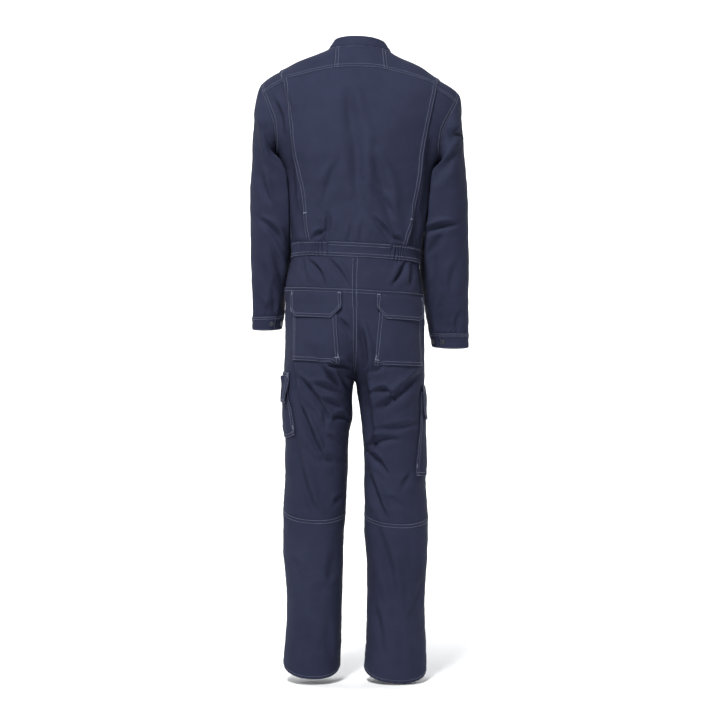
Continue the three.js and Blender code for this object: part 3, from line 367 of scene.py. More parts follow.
def limp(points):
    """The slow uneven swell of hanging cloth, a millimetre or two. It runs on across the seams."""
    total = np.zeros(points.shape[:-1])
    x, z = points[..., 0], points[..., 2]
    for turn, long, high in ((0.4, 150, 0.8), (2.5, 92, 0.55), (4.4, 57, 0.3), (1.3, 31, 0.13)):
        way = np.array([math.cos(turn), 0.5 * math.sin(turn * 1.3), math.sin(turn)])
        bend = np.sin(z / (long * 0.8) + turn) + 0.7 * np.sin(x / (long * 0.6) + 2 * turn)
        total += high * np.sin(2 * np.pi * points @ way / long + turn * 3 + bend)
    return total


def shell(outer, inner):
    """Points and faces of one closed skin round a grid of outer and inner points; the rims come last."""
    count, rows = outer.shape[:2]
    points = np.concatenate([outer.reshape(-1, 3), inner.reshape(-1, 3)])

    def at(i, j, layer):
        return (i * rows + j + layer * count * rows).ravel()

    i, j = np.meshgrid(np.arange(count - 1), np.arange(rows - 1), indexing="ij")
    faces = [
        np.stack([at(i, j, 0), at(i, j + 1, 0), at(i + 1, j + 1, 0), at(i + 1, j, 0)], -1),
        np.stack([at(i, j, 1), at(i + 1, j, 1), at(i + 1, j + 1, 1), at(i, j + 1, 1)], -1),
    ]
    i, j = np.arange(count - 1), np.arange(rows - 1)
    foot, last = np.full(count - 1, rows - 1), np.full(rows - 1, count - 1)
    faces.append(np.stack([at(i, 0 * i, 0), at(i + 1, 0 * i, 0), at(i + 1, 0 * i, 1), at(i, 0 * i, 1)], -1))
    faces.append(np.stack([at(i, foot, 0), at(i, foot, 1), at(i + 1, foot, 1), at(i + 1, foot, 0)], -1))
    faces.append(np.stack([at(0 * j, j, 0), at(0 * j, j, 1), at(0 * j, j + 1, 1), at(0 * j, j + 1, 0)], -1))
    faces.append(np.stack([at(last, j, 0), at(last, j + 1, 0), at(last, j + 1, 1), at(last, j, 1)], -1))
    smooth = np.concatenate([np.full(len(f), n < 2) for n, f in enumerate(faces)])
    return points, np.concatenate(faces), smooth


def body(name, points, corners, sizes, smooth, material):
    """A mesh object from points in millimetres, its faces' corners and how many corners each face has."""
    mesh = bpy.data.meshes.new(name)
    mesh.vertices.add(len(points))
    mesh.vertices.foreach_set("co", (points * 0.001).astype(np.float32).ravel())
    mesh.loops.add(len(corners))
    mesh.loops.foreach_set("vertex_index", corners.astype(np.int32))
    mesh.polygons.add(len(sizes))
    mesh.polygons.foreach_set("loop_start", (np.cumsum(sizes) - sizes).astype(np.int32))
    mesh.polygons.foreach_set("use_smooth", smooth)
    mesh.update(calc_edges=True)
    mesh.materials.append(material)
    made = bpy.data.objects.new(name, mesh)
    bpy.context.scene.collection.objects.link(made)
    return made


def solid(name, points, faces, smooth, material, uv=None):
    """A mesh object of faces with equally many corners. Its faces are turned outwards."""
    a, b, c = (points[faces[:, k]] for k in (0, 1, 2))
    d = points[faces[:, -1]]
    volume = (np.cross(a, b) * c).sum() + ((np.cross(a, c) * d).sum() if faces.shape[1] == 4 else 0)
    if volume < 0:
        faces = faces[:, ::-1]
    made = body(name, points, faces.ravel(), np.full(len(faces), faces.shape[1]), smooth, material)
    if uv is not None:
        layer = made.data.uv_layers.new(name="cloth")
        layer.data.foreach_set("uv", uv[faces.ravel()].astype(np.float32).ravel())
    return made


def group(name, inputs, outputs):
    """An empty shader node group with named sockets."""
    made = bpy.data.node_groups.new(name, "ShaderNodeTree")
    for words, kind in inputs:
        made.interface.new_socket(words, in_out="INPUT", socket_type=kind)
    for words, kind in outputs:
        made.interface.new_socket(words, in_out="OUTPUT", socket_type=kind)
    return made, made.nodes.new("NodeGroupInput"), made.nodes.new("NodeGroupOutput")


def maths(tree, operation, a, b=None, c=None):
    """A maths node; a, b and c are numbers or sockets."""
    node = tree.nodes.new("ShaderNodeMath")
    node.operation = operation
    for socket, value in zip(node.inputs, (a, b, c)):
        if value is None:
            continue
        if isinstance(value, (int, float)):
            socket.default_value = value
        else:
            tree.links.new(value, socket)
    return node.outputs[0]


def noise(tree, where, scale, detail=3.0, rough=0.55):
    node = tree.nodes.new("ShaderNodeTexNoise")
    node.inputs["Scale"].default_value = scale
    node.inputs["Detail"].default_value = detail
    node.inputs["Roughness"].default_value = rough
    tree.links.new(where, node.inputs["Vector"])
    return node.outputs["Fac"]


def blended(tree, share, first, second):
    """A colour between two, by share."""
    node = tree.nodes.new("ShaderNodeMix")
    node.data_type = "RGBA"
    node.inputs["A"].default_value = (*first, 1)
    node.inputs["B"].default_value = (*second, 1)
    tree.links.new(share, node.inputs["Factor"])
    return node.outputs["Result"]


def give_bumps(tree, shader, height, strength, deep):
    """Gives a shader the bumps of a height."""
    bump = tree.nodes.new("ShaderNodeBump")
    bump.inputs["Strength"].default_value = strength
    bump.inputs["Distance"].default_value = deep
    tree.links.new(height, bump.inputs["Height"])
    tree.links.new(bump.outputs["Normal"], shader.inputs["Normal"])


def bare_material(name):
    """A new material, its tree, its shader and the coordinates of the piece that it lies on."""
    made = bpy.data.materials.new(name)
    made.use_nodes = True
    tree = made.node_tree
    return made, tree, tree.nodes["Principled BSDF"], tree.nodes.new("ShaderNodeTexCoord").outputs


def twill_group():
    """Warp-faced twill: steep ribs 0.9 mm apart, weft slubs, soft shade differences from dyeing and wear."""
    tree, given, made = group(
        "twill",
        [("Cloth", "NodeSocketVector"), ("Place", "NodeSocketVector")],
        [("Shade", "NodeSocketFloat"), ("Roughness", "NodeSocketFloat"), ("Height", "NodeSocketFloat")],
    )
    apart = tree.nodes.new("ShaderNodeSeparateXYZ")
    tree.links.new(given.outputs["Cloth"], apart.inputs[0])
    across, down = apart.outputs[0], apart.outputs[1]
    wander = noise(tree, given.outputs["Place"], 60, 2)
    slant = maths(tree, "MULTIPLY_ADD", down, 3800.0, maths(tree, "MULTIPLY", across, 7000.0))
    rib = maths(tree, "SINE", maths(tree, "ADD", slant, maths(tree, "MULTIPLY", wander, 3.0)))
    weft = maths(tree, "SINE", maths(tree, "MULTIPLY", down, 12500.0))
    slub = noise(tree, given.outputs["Place"], 900, 2, 0.7)
    cloud = noise(tree, given.outputs["Place"], 5.5, 4)
    patchy = noise(tree, given.outputs["Place"], 34, 3)
    shade = maths(tree, "MULTIPLY_ADD", cloud, 0.5, maths(tree, "MULTIPLY", patchy, 0.3))
    shade = maths(tree, "MULTIPLY_ADD", rib, 0.1, shade)
    shade = maths(tree, "MULTIPLY_ADD", slub, 0.22, shade)
    tree.links.new(shade, made.inputs["Shade"])
    tree.links.new(maths(tree, "MULTIPLY_ADD", patchy, 0.12, 0.74), made.inputs["Roughness"])
    height = maths(tree, "MULTIPLY_ADD", weft, 0.12, maths(tree, "MULTIPLY", rib, 0.3))
    tree.links.new(maths(tree, "MULTIPLY_ADD", slub, 0.7, height), made.inputs["Height"])
    return tree


def cloth_material(name, dark, light, weave):
    """A cloth: colours and roughness from the weave's shade, and its height as bump."""
    made, tree, shader, where = bare_material(name)
    woven = tree.nodes.new("ShaderNodeGroup")
    woven.node_tree = weave
    tree.links.new(where["UV"], woven.inputs["Cloth"])
    tree.links.new(where["Object"], woven.inputs["Place"])
    tree.links.new(blended(tree, woven.outputs["Shade"], dark, light), shader.inputs["Base Color"])
    tree.links.new(woven.outputs["Roughness"], shader.inputs["Roughness"])
    give_bumps(tree, shader, woven.outputs["Height"], 0.22, 0.0006)
    shader.inputs["Specular IOR Level"].default_value = 0.06
    return made


navy = cloth_material("navy_twill", (0.0128, 0.0146, 0.0305), (0.0352, 0.0398, 0.0745), twill_group())
CLOTH_THICK = 1.1


def cloth(name, form, patch, cut, area=None, lift=0.0, sides=("felled",) * 4, step=4.2, held="hung", **words):
    """A piece of the suit, in place of its solid: a thin shell on a form. cut is the cloth's flat
    width and length in millimetres, lift the height of its face over the form, and sides say how its start,
    end, top and bottom edges are sewn. Returns the grid of its face, which the stitching follows."""
    u, v = spread(cut[0], step), spread(cut[1], max(step, 3.6))
    across, down = np.meshgrid(u, v, indexing="ij")
    points, out = form(*patch(across, down))
    normal = facing(points, out)
    run_u, run_v = run_length(points, 0), run_length(points, 1)
    edges = ((run_u, run_v), (run_u[-1:] - run_u, run_v), (run_v, run_u), (run_v[:, -1:] - run_v, run_u))
    high = lift(across, down) if callable(lift) else lift
    high = high + limp(points)
    for turn, (kind, (distance, along)) in enumerate(zip(sides, edges)):
        high = high + sewn(distance, along, kind, turn + sum(map(ord, name)) % 17)
    face = points + normal * high[..., None]
    back = points + normal * (high - CLOTH_THICK)[..., None]
    flat = np.stack([run_u, run_v], -1).reshape(-1, 2) * 0.001
    made = solid(name + ".cloth", *shell(face, back), navy, np.concatenate([flat, flat]))
    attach(made, "root")
    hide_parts(name)
    return {"face": face, "normal": normal, "u": u, "v": v, "run": (run_u, run_v)}


def place(piece, i, j):
    """Points and normals of a piece's face at fractional grid places."""
    count, rows = piece["face"].shape[:2]
    i, j = np.clip(i, 0, count - 1.0001), np.clip(j, 0, rows - 1.0001)
    left, low = np.floor(i).astype(int), np.floor(j).astype(int)
    share_i, share_j = (i - left)[:, None], (j - low)[:, None]

    def read(grid):
        upper = mix(grid[left, low], grid[left + 1, low], share_i)
        return mix(upper, mix(grid[left, low + 1], grid[left + 1, low + 1], share_i), share_j)

    normal = read(piece["normal"])
    return read(piece["face"]), normal / np.linalg.norm(normal, axis=-1, keepdims=True)


def edge_line(piece, edge, inset, start=0.0, end=1.0):
    """A line on a piece's face, a few millimetres inside one of its edges, over a share of that edge."""
    run_u, run_v = piece["run"]
    count, rows = run_u.shape
    if edge in ("start", "end"):
        j = np.linspace(start, end, rows * 2) * (rows - 1)
        near = run_u if edge == "start" else (run_u[-1:] - run_u)[::-1]
        i = np.array([np.interp(inset, near[:, row], np.arange(count)) for row in np.round(j).astype(int)])
        return place(piece, i if edge == "start" else count - 1 - i, j)
    i = np.linspace(start, end, count * 2) * (count - 1)
    near = run_v if edge == "top" else (run_v[:, -1:] - run_v)[:, ::-1]
    j = np.array([np.interp(inset, near[line], np.arange(rows)) for line in np.round(i).astype(int)])
    return place(piece, i, j if edge == "top" else rows - 1 - j)


def drawn_line(piece, *corners):
    """A line on a piece's face through corners given as shares across and down."""
    share = np.linspace(0, len(corners) - 1, 60 * (len(corners) - 1))
    u, v = (np.interp(share, np.arange(len(corners)), [corner[k] for corner in corners]) for k in (0, 1))
    i = np.interp(u, piece["u"], np.arange(len(piece["u"])))
    return place(piece, i, np.interp(v, piece["v"], np.arange(len(piece["v"]))))


THREAD = {"long": 3.1, "pitch": 4.0, "wide": 0.85, "high": 0.4}
sewing = []


def needle_places(line, run, middle):
    """Places along a line, and the ways ahead, beside and up at each."""
    points, normals = line
    centre = np.stack([np.interp(middle, run, points[:, k]) for k in range(3)], -1)
    ahead = np.stack([np.interp(middle + 0.5, run, points[:, k]) for k in range(3)], -1) - centre
    ahead /= np.linalg.norm(ahead, axis=-1, keepdims=True) + 1e-9
    up = np.stack([np.interp(middle, run, normals[:, k]) for k in range(3)], -1)
    beside = np.cross(up, ahead)
    beside /= np.linalg.norm(beside, axis=-1, keepdims=True) + 1e-9
    return centre, ahead, beside, up


def stitch(line):
    """Lockstitch along a line: each stitch is a swell of thread that dips into the cloth at its ends."""
    run = run_length(line[0], 0)
    pitch = THREAD["pitch"]
    count = int((run[-1] - 1) // pitch)
    if count < 1:
        return
    middle = (run[-1] - (count - 1) * pitch) / 2 + np.arange(count) * pitch
    sewing.append((*needle_places(line, run, middle), THREAD["long"], THREAD["wide"]))


def twin_rows(piece, edges, insets=(2.6, 10.0)):
    """Rows of stitching, mostly two, along the named edges of a piece."""
    for edge in edges.split():
        for inset in insets:
            stitch(edge_line(piece, edge, inset))


def bar_tack(line, long=9.0):
    """A bar tack: a block of close cross stitches along the first millimetres of a line."""
    centre, ahead, beside, up = needle_places(line, run_length(line[0], 0), np.arange(0, long, 0.85))
    sewing.append((centre, beside + 0.15 * ahead, ahead, up * 1.6, 3.0, 0.9))


def thread_material():
    """Pale contrast thread: three-ply twist, a little uneven in colour."""
    made, tree, shader, where = bare_material("pale_thread")
    uneven = noise(tree, where["Object"], 420, 2)
    faded = noise(tree, where["Object"], 14, 2)
    share = maths(tree, "MULTIPLY_ADD", uneven, 0.7, maths(tree, "MULTIPLY", faded, 0.5))
    colour = blended(tree, share, (0.08, 0.088, 0.13), (0.235, 0.255, 0.335))
    tree.links.new(colour, shader.inputs["Base Color"])
    shader.inputs["Roughness"].default_value = 0.6
    return made


pale_thread = thread_material()


def sew(name):
    """Makes one mesh of all stitches drawn since the last call."""
    points, faces, base = [], [], 0
    rings = [(x, y, z) for x in (-0.32, 0.32) for y, z in ((0.5, 0), (0, 1), (-0.5, 0), (0, -0.6))]
    shape = np.array([(-0.5, 0, -0.5), *rings, (0.5, 0, -0.5)])
    around = [(1 + k, 1 + (k + 1) % 4) for k in range(4)]
    skin = [(0, b, a, a) for a, b in around]
    skin += [(a, b, b + 4, a + 4) for a, b in around]
    skin += [(9, a + 4, b + 4, b + 4) for a, b in around]
    for centre, ahead, beside, up, long, wide in sewing:
        thread = (
            centre[:, None]
            + shape[None, :, :1] * long * ahead[:, None]
            + shape[None, :, 1:2] * wide * beside[:, None]
            + shape[None, :, 2:] * THREAD["high"] * up[:, None]
        )
        points.append(thread.reshape(-1, 3))
        starts = base + np.arange(len(centre)) * len(shape)
        faces.append((starts[:, None, None] + np.array(skin)[None]).reshape(-1, 4))
        base += len(centre) * len(shape)
    sewing.clear()
    points, faces = np.concatenate(points), np.concatenate(faces)
    pointed = faces[:, 2] == faces[:, 3]
    corners = np.concatenate([faces[pointed][:, :3].ravel(), faces[~pointed].ravel()])
    sizes = np.concatenate([np.full(pointed.sum(), 3), np.full((~pointed).sum(), 4)])
    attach(body(name, points, corners, sizes, np.ones(len(sizes), bool), pale_thread), "root")


YOKE_SEAM = table(
    "across z",
    (0, -53), (30, -53.5), (60, -56), (85, -60.5), (110, -66), (130, -71), (150, -76.5), (170, -82),
    (190, -86),
)
YOKE_LEVEL = 0.022
PLEAT_REACH = 190.0
PLEAT_TOP_Z = -86.0
PLEAT_FOOT = {1: 121.0, -1: 124.0}
PLEAT_TACK = {"start": 0.83, "end": 0.84}
WAIST_TOP_Z = -482.0
WAIST_BOTTOM_Z = -520.0


def off_middle(across, z):
    """The angle behind of a place on the trunk, by its distance to the left of the middle."""
    angle = trunk_angle(np.abs(across), z)
    return np.where(across < 0, math.pi - angle, angle)


def yoke_seam(across):
    z = column(YOKE_SEAM, "z", np.abs(across), "across") - YOKE_LEVEL * across
    return np.stack([off_middle(across, z), z])


def pleat_line(side, z, shift=0.0):
    """The pleat's folded edge, or a line shift millimetres nearer the middle."""
    share = (z - PLEAT_TOP_Z) / (WAIST_TOP_Z - PLEAT_TOP_Z)
    return mirrored(side, (trunk_angle(mix(PLEAT_REACH, PLEAT_FOOT[side], share) - shift, z), z))


def pleat_edge(side):
    top = PLEAT_TOP_Z - side * YOKE_LEVEL * PLEAT_REACH
    return lambda v: pleat_line(side, mix(top, WAIST_TOP_Z, v))


back_top = lambda u: yoke_seam(mix(PLEAT_REACH, -PLEAT_REACH, u))
back_start, back_end = pleat_edge(1), pleat_edge(-1)
back_bottom = straight(back_start(np.ones(1))[:, 0], back_end(np.ones(1))[:, 0])
back_panel = cloth(
    "back_panel", trunk, between(back_top, back_bottom, back_start, back_end), cut=(395, 444), area=0.1423,
    sides=("folded", "folded", "plain", "plain"), rests_on=["yoke_centre", "yoke_left", "yoke_right"],
)
twin_rows(back_panel, "start end", (3, 10.5))
for edge, u, step_in in (("start", 0.0, 0.045), ("end", 1.0, -0.045)):
    down = PLEAT_TACK[edge]
    bar_tack(drawn_line(back_panel, (u + step_in * 0.1, down), (u + step_in * 1.3, down)), long=12)
sew("stitching_back")

# The two side backs come out from under the pleats, 3 mm lower, and reach the armhole and the side seam. The
# yoke's lower seam crosses their top. Each is 0.13 m wide and 0.41 m long.
PLEAT_LAYER = 2.6
PLEAT_UNDERLAP = 22.0
ARMHOLE_TOP_Z = -93.0
ARMHOLE_FOOT_Z = -270.0
LOWER_SEAM_Z = -91.0


def armhole_height(angle):
    return mix(ARMHOLE_FOOT_Z, ARMHOLE_TOP_Z, (1 + np.cos(angle)) / 2)


def armhole_angle(z):
    return trunk_angle(column(TRUNK, "arm", z), z)


SHOULDER_TURN = 2 * math.pi / 7
SHOULDER_SEAM_Z = float(armhole_height(SHOULDER_TURN))


def side_edge(side, facing):
    """The armhole's edge of a panel behind (1) or in front (-1), then its side seam, down to the waist."""

    def edge(v):
        z = mix(SHOULDER_SEAM_Z, WAIST_TOP_Z, v)
        return mirrored(side, (np.where(z > ARMHOLE_FOOT_Z, armhole_angle(z) * facing, 0.0), z))

    return edge


def levelled(start, v):
    """Height of a panel's other edge: from its own start, then level with the side seam below the armhole."""
    foot = (ARMHOLE_FOOT_Z - SHOULDER_SEAM_Z) / (WAIST_TOP_Z - SHOULDER_SEAM_Z)
    return np.where(v < foot, mix(start, ARMHOLE_FOOT_Z, v / foot), mix(SHOULDER_SEAM_Z, WAIST_TOP_Z, v))


def lower_seam(side):
    start = (trunk_angle(180.0, LOWER_SEAM_Z), LOWER_SEAM_Z)
    line = straight(start, (armhole_angle(SHOULDER_SEAM_Z), SHOULDER_SEAM_Z))
    return lambda share: mirrored(side, line(share))


def under_pleat(share):
    return -PLEAT_LAYER * (1 - ease((share - 0.3) / 0.65))


for side, word in ((1, "left"), (-1, "right")):

    def start(v, side=side):
        height = levelled(LOWER_SEAM_Z, v)
        return pleat_line(side, height, PLEAT_UNDERLAP * (0.35 + 0.65 * ease(v * 3)))

    def top(u, side=side, start=start):
        corner = lower_seam(side)
        beside = straight(start(np.zeros(1))[:, 0], corner(np.full(1, 0.1))[:, 0])
        return np.where(u < 0.2, beside(u / 0.2), corner(mix(0.1, 1, (u - 0.2) / 0.8)))

    side_back = cloth(
        "back_side_" + word, trunk, under(top, start, side_edge(side, 1), 0.3), cut=(134, 412), area=0.04,
        lift=lambda u, v: under_pleat(u), sides=("plain", "felled", "plain", "gathered"),
    )
    twin_rows(side_back, "end")
sew("stitching_side_backs")

# The yoke is three pieces round the neck and over both shoulders to the front, with the seams to the middle
# piece 0.13 m apart. Its outer ends show from under the pleats' edges to the armholes.
YOKE_SIDE = {1: 65.0, -1: 70.0}
NECK_SIDE = {1: 61.0, -1: 64.0}
FRONT_NECK = (math.radians(-38), 0.0)
FRONT_CORNER = (math.radians(-23), -66.0)


def neck_point(side):
    return mirrored(side, (trunk_angle(NECK_SIDE[side], 0.0), 0.0))


def chain(*places):
    """A broken line through places on a form, with equal shares for its runs."""
    shares = np.linspace(0, 1, len(places))
    return lambda share: np.stack([np.interp(share, shares, [float(p[k]) for p in places]) for k in (0, 1)])


def yoke_upright(side):
    """The seam between the middle and a side of the yoke, straight as seen from behind."""

    def line(v):
        z = mix(0.0, yoke_seam(side * YOKE_SIDE[side])[1], v)
        return np.stack([off_middle(side * mix(NECK_SIDE[side], YOKE_SIDE[side], v), z), z])

    return line


centre_yoke = cloth(
    "yoke_centre", trunk,
    between(
        straight(neck_point(1), neck_point(-1)), lambda u: yoke_seam(mix(YOKE_SIDE[1], -YOKE_SIDE[-1], u)),
        yoke_upright(1), yoke_upright(-1),
    ),
    cut=(167, 92), area=0.0113,
)
twin_rows(centre_yoke, "start end bottom")
twin_rows(centre_yoke, "top", (2.2,))
for side, word in ((1, "left"), (-1, "right")):
    seam = [yoke_seam(side * across) for across in (YOKE_SIDE[side], 85, 110, 130, 150, 170, 190)]
    tip, top_of_arm, ahead = (trunk_angle(193.0, -71.0), -71), (0, -56), (math.radians(-12), -60)
    over = [mirrored(side, at) for at in (tip, top_of_arm, ahead, FRONT_CORNER)]
    around, outline = straight(neck_point(side), mirrored(side, FRONT_NECK)), chain(*seam, *over)
    front_end = straight(mirrored(side, FRONT_NECK), mirrored(side, FRONT_CORNER))
    side_yoke = cloth(
        "yoke_" + word, trunk, between(around, outline, yoke_upright(side), front_end),
        cut=(258, 166), area=0.0204, sides=("plain", "felled", "felled", "felled"),
    )
    twin_rows(side_yoke, "bottom end")
    twin_rows(side_yoke, "top", (2.2,))
    ridge = mirrored(side, (0.0, -50.0))
    behind = mirrored(side, (trunk_angle(184.0, -72.0), -72.0))
    under_yoke = mirrored(side, straight(FRONT_NECK, FRONT_CORNER)(0.8))
    start, front_corner = lower_seam(side), mirrored(side, FRONT_CORNER)
    corner = start(np.zeros(1))[:, 0]
    front_arm = mirrored(side, (-armhole_angle(SHOULDER_SEAM_Z), SHOULDER_SEAM_Z))

    def front_seam(share, a=under_yoke, b=front_corner, c=front_arm):
        return np.stack([np.interp(share, [0, 1 / 3, 1], [float(at[k]) for at in (a, b, c)]) for k in (0, 1)])

    def arm_edge(u, side=side):
        turn = mix(SHOULDER_TURN, -SHOULDER_TURN, u)
        z = armhole_height(turn)
        return mirrored(side, (armhole_angle(z) * np.sign(turn), z))

    shoulder = cloth(
        "shoulder_" + word, trunk,
        between(chain(corner, behind, ridge, under_yoke), arm_edge, start, front_seam),
        cut=(162, 100), area=0.0096, lift=lambda u, v: 0.75 * under_pleat(v),
        sides=("felled", "felled", "plain", "felled"),
    )
    twin_rows(shoulder, "start end bottom")
sew("stitching_yoke")

# The fronts run from the neck and the front yoke seam to the waist. Each is 0.3 m wide and 0.45 m long, plain
# navy twill with its inner edge under the placket.
for side, word in ((1, "left"), (-1, "right")):
    neck = straight((math.radians(-90), 0.0), FRONT_NECK)
    seam = straight(FRONT_NECK, FRONT_CORNER)
    outer = straight(FRONT_CORNER, (-armhole_angle(SHOULDER_SEAM_Z), SHOULDER_SEAM_Z))

    def top(u, side=side, neck=neck, seam=seam, outer=outer):
        inside = np.where(u < 0.4, neck(u / 0.4), seam((u - 0.4) / 0.4))
        return mirrored(side, np.where(u < 0.8, inside, outer((u - 0.8) / 0.2)))

    def middle(v, side=side):
        return mirrored(side, (math.radians(-90) + 0 * v, levelled(0.0, v)))

    cloth(
        "front_" + word, trunk, under(top, middle, side_edge(side, -1), 0.3),
        cut=(292, 512), area=0.1044, sides=("plain", "plain", "plain", "gathered"), step=6.4,
    )

# Stand collar, folded from one strip of the same navy twill, 24 mm high behind and open in front. It leans
# inwards, most at the sides of the neck, and swells a little between its fold and its seam.
COLLAR_LEAN = {"side": 15.0, "back": 9.0, "front": 5.0}
COLLAR_HIGH = 26.2
COLLAR_LAP = 1.5


def stand(angle, share):
    point, out = trunk(angle, np.zeros(np.shape(angle)))
    c, s = np.cos(angle), np.sin(angle)
    lean = np.where(s > 0, COLLAR_LEAN["back"], COLLAR_LEAN["front"])
    rise = share * COLLAR_HIGH - COLLAR_LAP
    moved = np.stack([-share * COLLAR_LEAN["side"] * c, -share * s * lean, rise], -1)
    return point + moved, out


cloth(
    "collar", stand, lambda u, v: (mix(math.radians(-88), math.radians(268), u), v),
    cut=(480, 28), area=0.0115, lift=lambda u, v: 1.7 + 0.7 * np.sin(np.pi * v),
    sides=("folded", "folded", "folded", "plain"), step=4.0,
)

# The sleeves are set into the armholes and hang just clear of the body, the left one straighter. Each is one
# piece with its seam under the arm, about 0.46 m round at the head, 0.27 m at the cuff and 0.55 m long.
STATION = "station out_x out_z in_x in_z depth set"
SLEEVES = {
    1: table(
        STATION,
        (0, 250, -92, 222, -266, 77, 0),
        (1, 259, -122, 212, -280, 78, -1),
        (2, 264, -165, 198, -294, 79, -4),
        (3, 268, -215, 185, -310, 79, -9),
        (4, 271, -270, 177, -332, 78, -17),
        (5, 276, -328, 171, -362, 76, -26),
        (6, 277, -388, 167, -402, 74, -35),
        (7, 277, -448, 166, -450, 71, -43),
        (8, 276.5, -505, 169, -504, 66, -50),
        (9, 273.5, -560, 177.5, -558, 60, -57),
        (10, 272, -612, 186.5, -610, 53, -62),
        (11, 271, -659, 192.5, -657, 45, -67),
        (12, 271, -692, 199, -691, 42, -70),
    ),
    -1: table(
        STATION,
        (0, -249, -119, -208, -286, 77, 0),
        (1, -250, -154, -201, -300, 78, -1),
        (2, -257, -200, -189, -314, 79, -4),
        (3, -262, -250, -177, -332, 79, -9),
        (4, -266, -305, -169, -354, 78, -17),
        (5, -270, -362, -163, -384, 76, -26),
        (6, -272, -422, -157, -426, 74, -35),
        (7, -273.5, -482, -152, -480, 70, -43),
        (8, -274.5, -540, -150, -536, 65, -50),
        (9, -275, -598, -156, -595, 58, -57),
        (10, -275.5, -652, -166, -650, 49, -62),
        (11, -275, -701, -177, -700, 41, -67),
        (12, -274, -738, -184, -736, 38, -70),
    ),
}
BODY_GAP = 3.4
UNDER_ARM = {"tuck": 24.0, "angle": 2.35, "reach": 0.42}


def clear_of_trunk(side, point, share):
    """Pushes a sleeve's points outwards until they clear the side of the trunk, where the arm leans on it."""
    x, y, z = point[..., 0], point[..., 1], point[..., 2] - LEAN * point[..., 0]
    depth = np.where(y > 0, column(TRUNK, "back", z), column(TRUNK, "front", z))
    room = np.clip(1 - np.abs(y / depth) ** SQUARENESS, 0, 1) ** (1 / SQUARENESS)
    wall = side * column(TRUNK, "mid", z) + column(TRUNK, "half", z) * room + share * BODY_GAP
    out = side * x
    pushed = side * (out + wall + np.hypot(out - wall, share * BODY_GAP)) / 2
    return np.stack([np.where(share > 0, pushed, x), y, point[..., 2]], -1)


def sleeve(side):
    """The form of a sleeve. Angle 0 is its outer side, 90 degrees behind; station 0 is the armhole's edge."""

    def form(angle, station):
        read = lambda name: column(SLEEVES[side], name, station, "station")
        c, s = bent(np.cos(angle), 2 / SQUARENESS), bent(np.sin(angle), 2 / SQUARENESS)
        outer, inner = ([read(edge + k) for k in "xz"] for edge in ("out_", "in_"))
        x, z = ((far + near) / 2 + c * (far - near) / 2 for far, near in zip(outer, inner))
        point = np.stack([x, read("set") + read("depth") * s, z], -1)
        out = np.stack([side * np.cos(angle), np.sin(angle), 0 * angle], -1)
        on = "left_sleeve" if side > 0 else "right_sleeve"
        settled = ease(station / 1.6)[..., None]
        point += out * settled * relief(on, point[..., 0], point[..., 2], np.sin(angle))[..., None]
        point[..., 2] -= 5 * np.clip(np.sin(angle), 0, 1) * ease((station - 10.4) / 1.6)
        under_arm = ease((station - 1.2) / 1.2) * (1 - ease((station - 5.5) / 2.5))
        turned = ((angle % (2 * math.pi)) - UNDER_ARM["angle"]) / UNDER_ARM["reach"]
        point[..., 0] -= side * UNDER_ARM["tuck"] * under_arm * np.exp(-(turned**2))
        z = armhole_height(angle)
        on_ring = armhole_angle(z) * np.sign(np.sin(angle))
        hole, _ = trunk(on_ring if side > 0 else math.pi - on_ring, z)
        return clear_of_trunk(side, mix(hole, point, settled), settled[..., 0]), out

    return form


def sleeve_head(u, v):
    """The head of a sleeve stands a little proud of the yoke."""
    return 1.6 * (1 - ease(v * 6)) * ease(-np.cos(u * 2 * math.pi) + 0.4)


for side, word in ((1, "left"), (-1, "right")):
    arm = cloth(
        "sleeve_" + word, sleeve(side), lambda u, v: (math.pi + 2 * math.pi * u * (1 - 1e-6), 11 * v),
        cut=(508, 594), area=0.187, lift=sleeve_head,
        sides=("felled", "plain", "plain", "gathered"), step=3.7,
    )
    twin_rows(arm, "start")
sew("stitching_sleeves")

# Cuffs: a folded band 35 mm high round each wrist, one end tucked under the other. A gunmetal press stud
# closes each, and a spare one lies 20 mm further for a narrower fit; both are 12 mm wide.
CUFF_LIFT = 0.9


def cuff_lift(u, v):
    return CUFF_LIFT + 0.5 * np.sin(np.pi * v) - 2.8 * (1 - ease((u - 0.08) / 0.05))


for side, word in ((1, "left"), (-1, "right")):
    cuff = cloth(
        "cuff_" + word, sleeve(side), lambda u, v: (math.radians(92) + math.radians(390) * u, 11 + v),
        cut=(295, 36), area=0.01, lift=cuff_lift, sides=("folded",) * 4, step=3.6,
    )
    twin_rows(cuff, "top", (2.6, 7.5))
    twin_rows(cuff, "bottom end", (2.6,))
sew("stitching_cuffs")


def lathe(name, profile, centre, axis, material, count=40):
    """A turned part: its profile is pairs of radius and height in millimetres along the axis."""
    side = np.cross(axis, (0.3, 0.2, 0.9))
    side /= np.linalg.norm(side)
    other = np.cross(axis, side)
    turn = np.linspace(0, 2 * math.pi, count, endpoint=False)[:, None, None]
    radius, height = (np.array(profile, float)[:, k][None, :, None] for k in (0, 1))
    grid = centre + radius * (np.cos(turn) * side + np.sin(turn) * other) + height * axis
    rows = len(profile)
    i, j = np.meshgrid(np.arange(count), np.arange(rows - 1), indexing="ij")
    at = lambda i, j: ((i % count) * rows + j).ravel()
    faces = np.stack([at(i, j), at(i, j + 1), at(i + 1, j + 1), at(i + 1, j)], -1)
    return solid(name, grid.reshape(-1, 3), faces, np.ones(len(faces), bool), material)


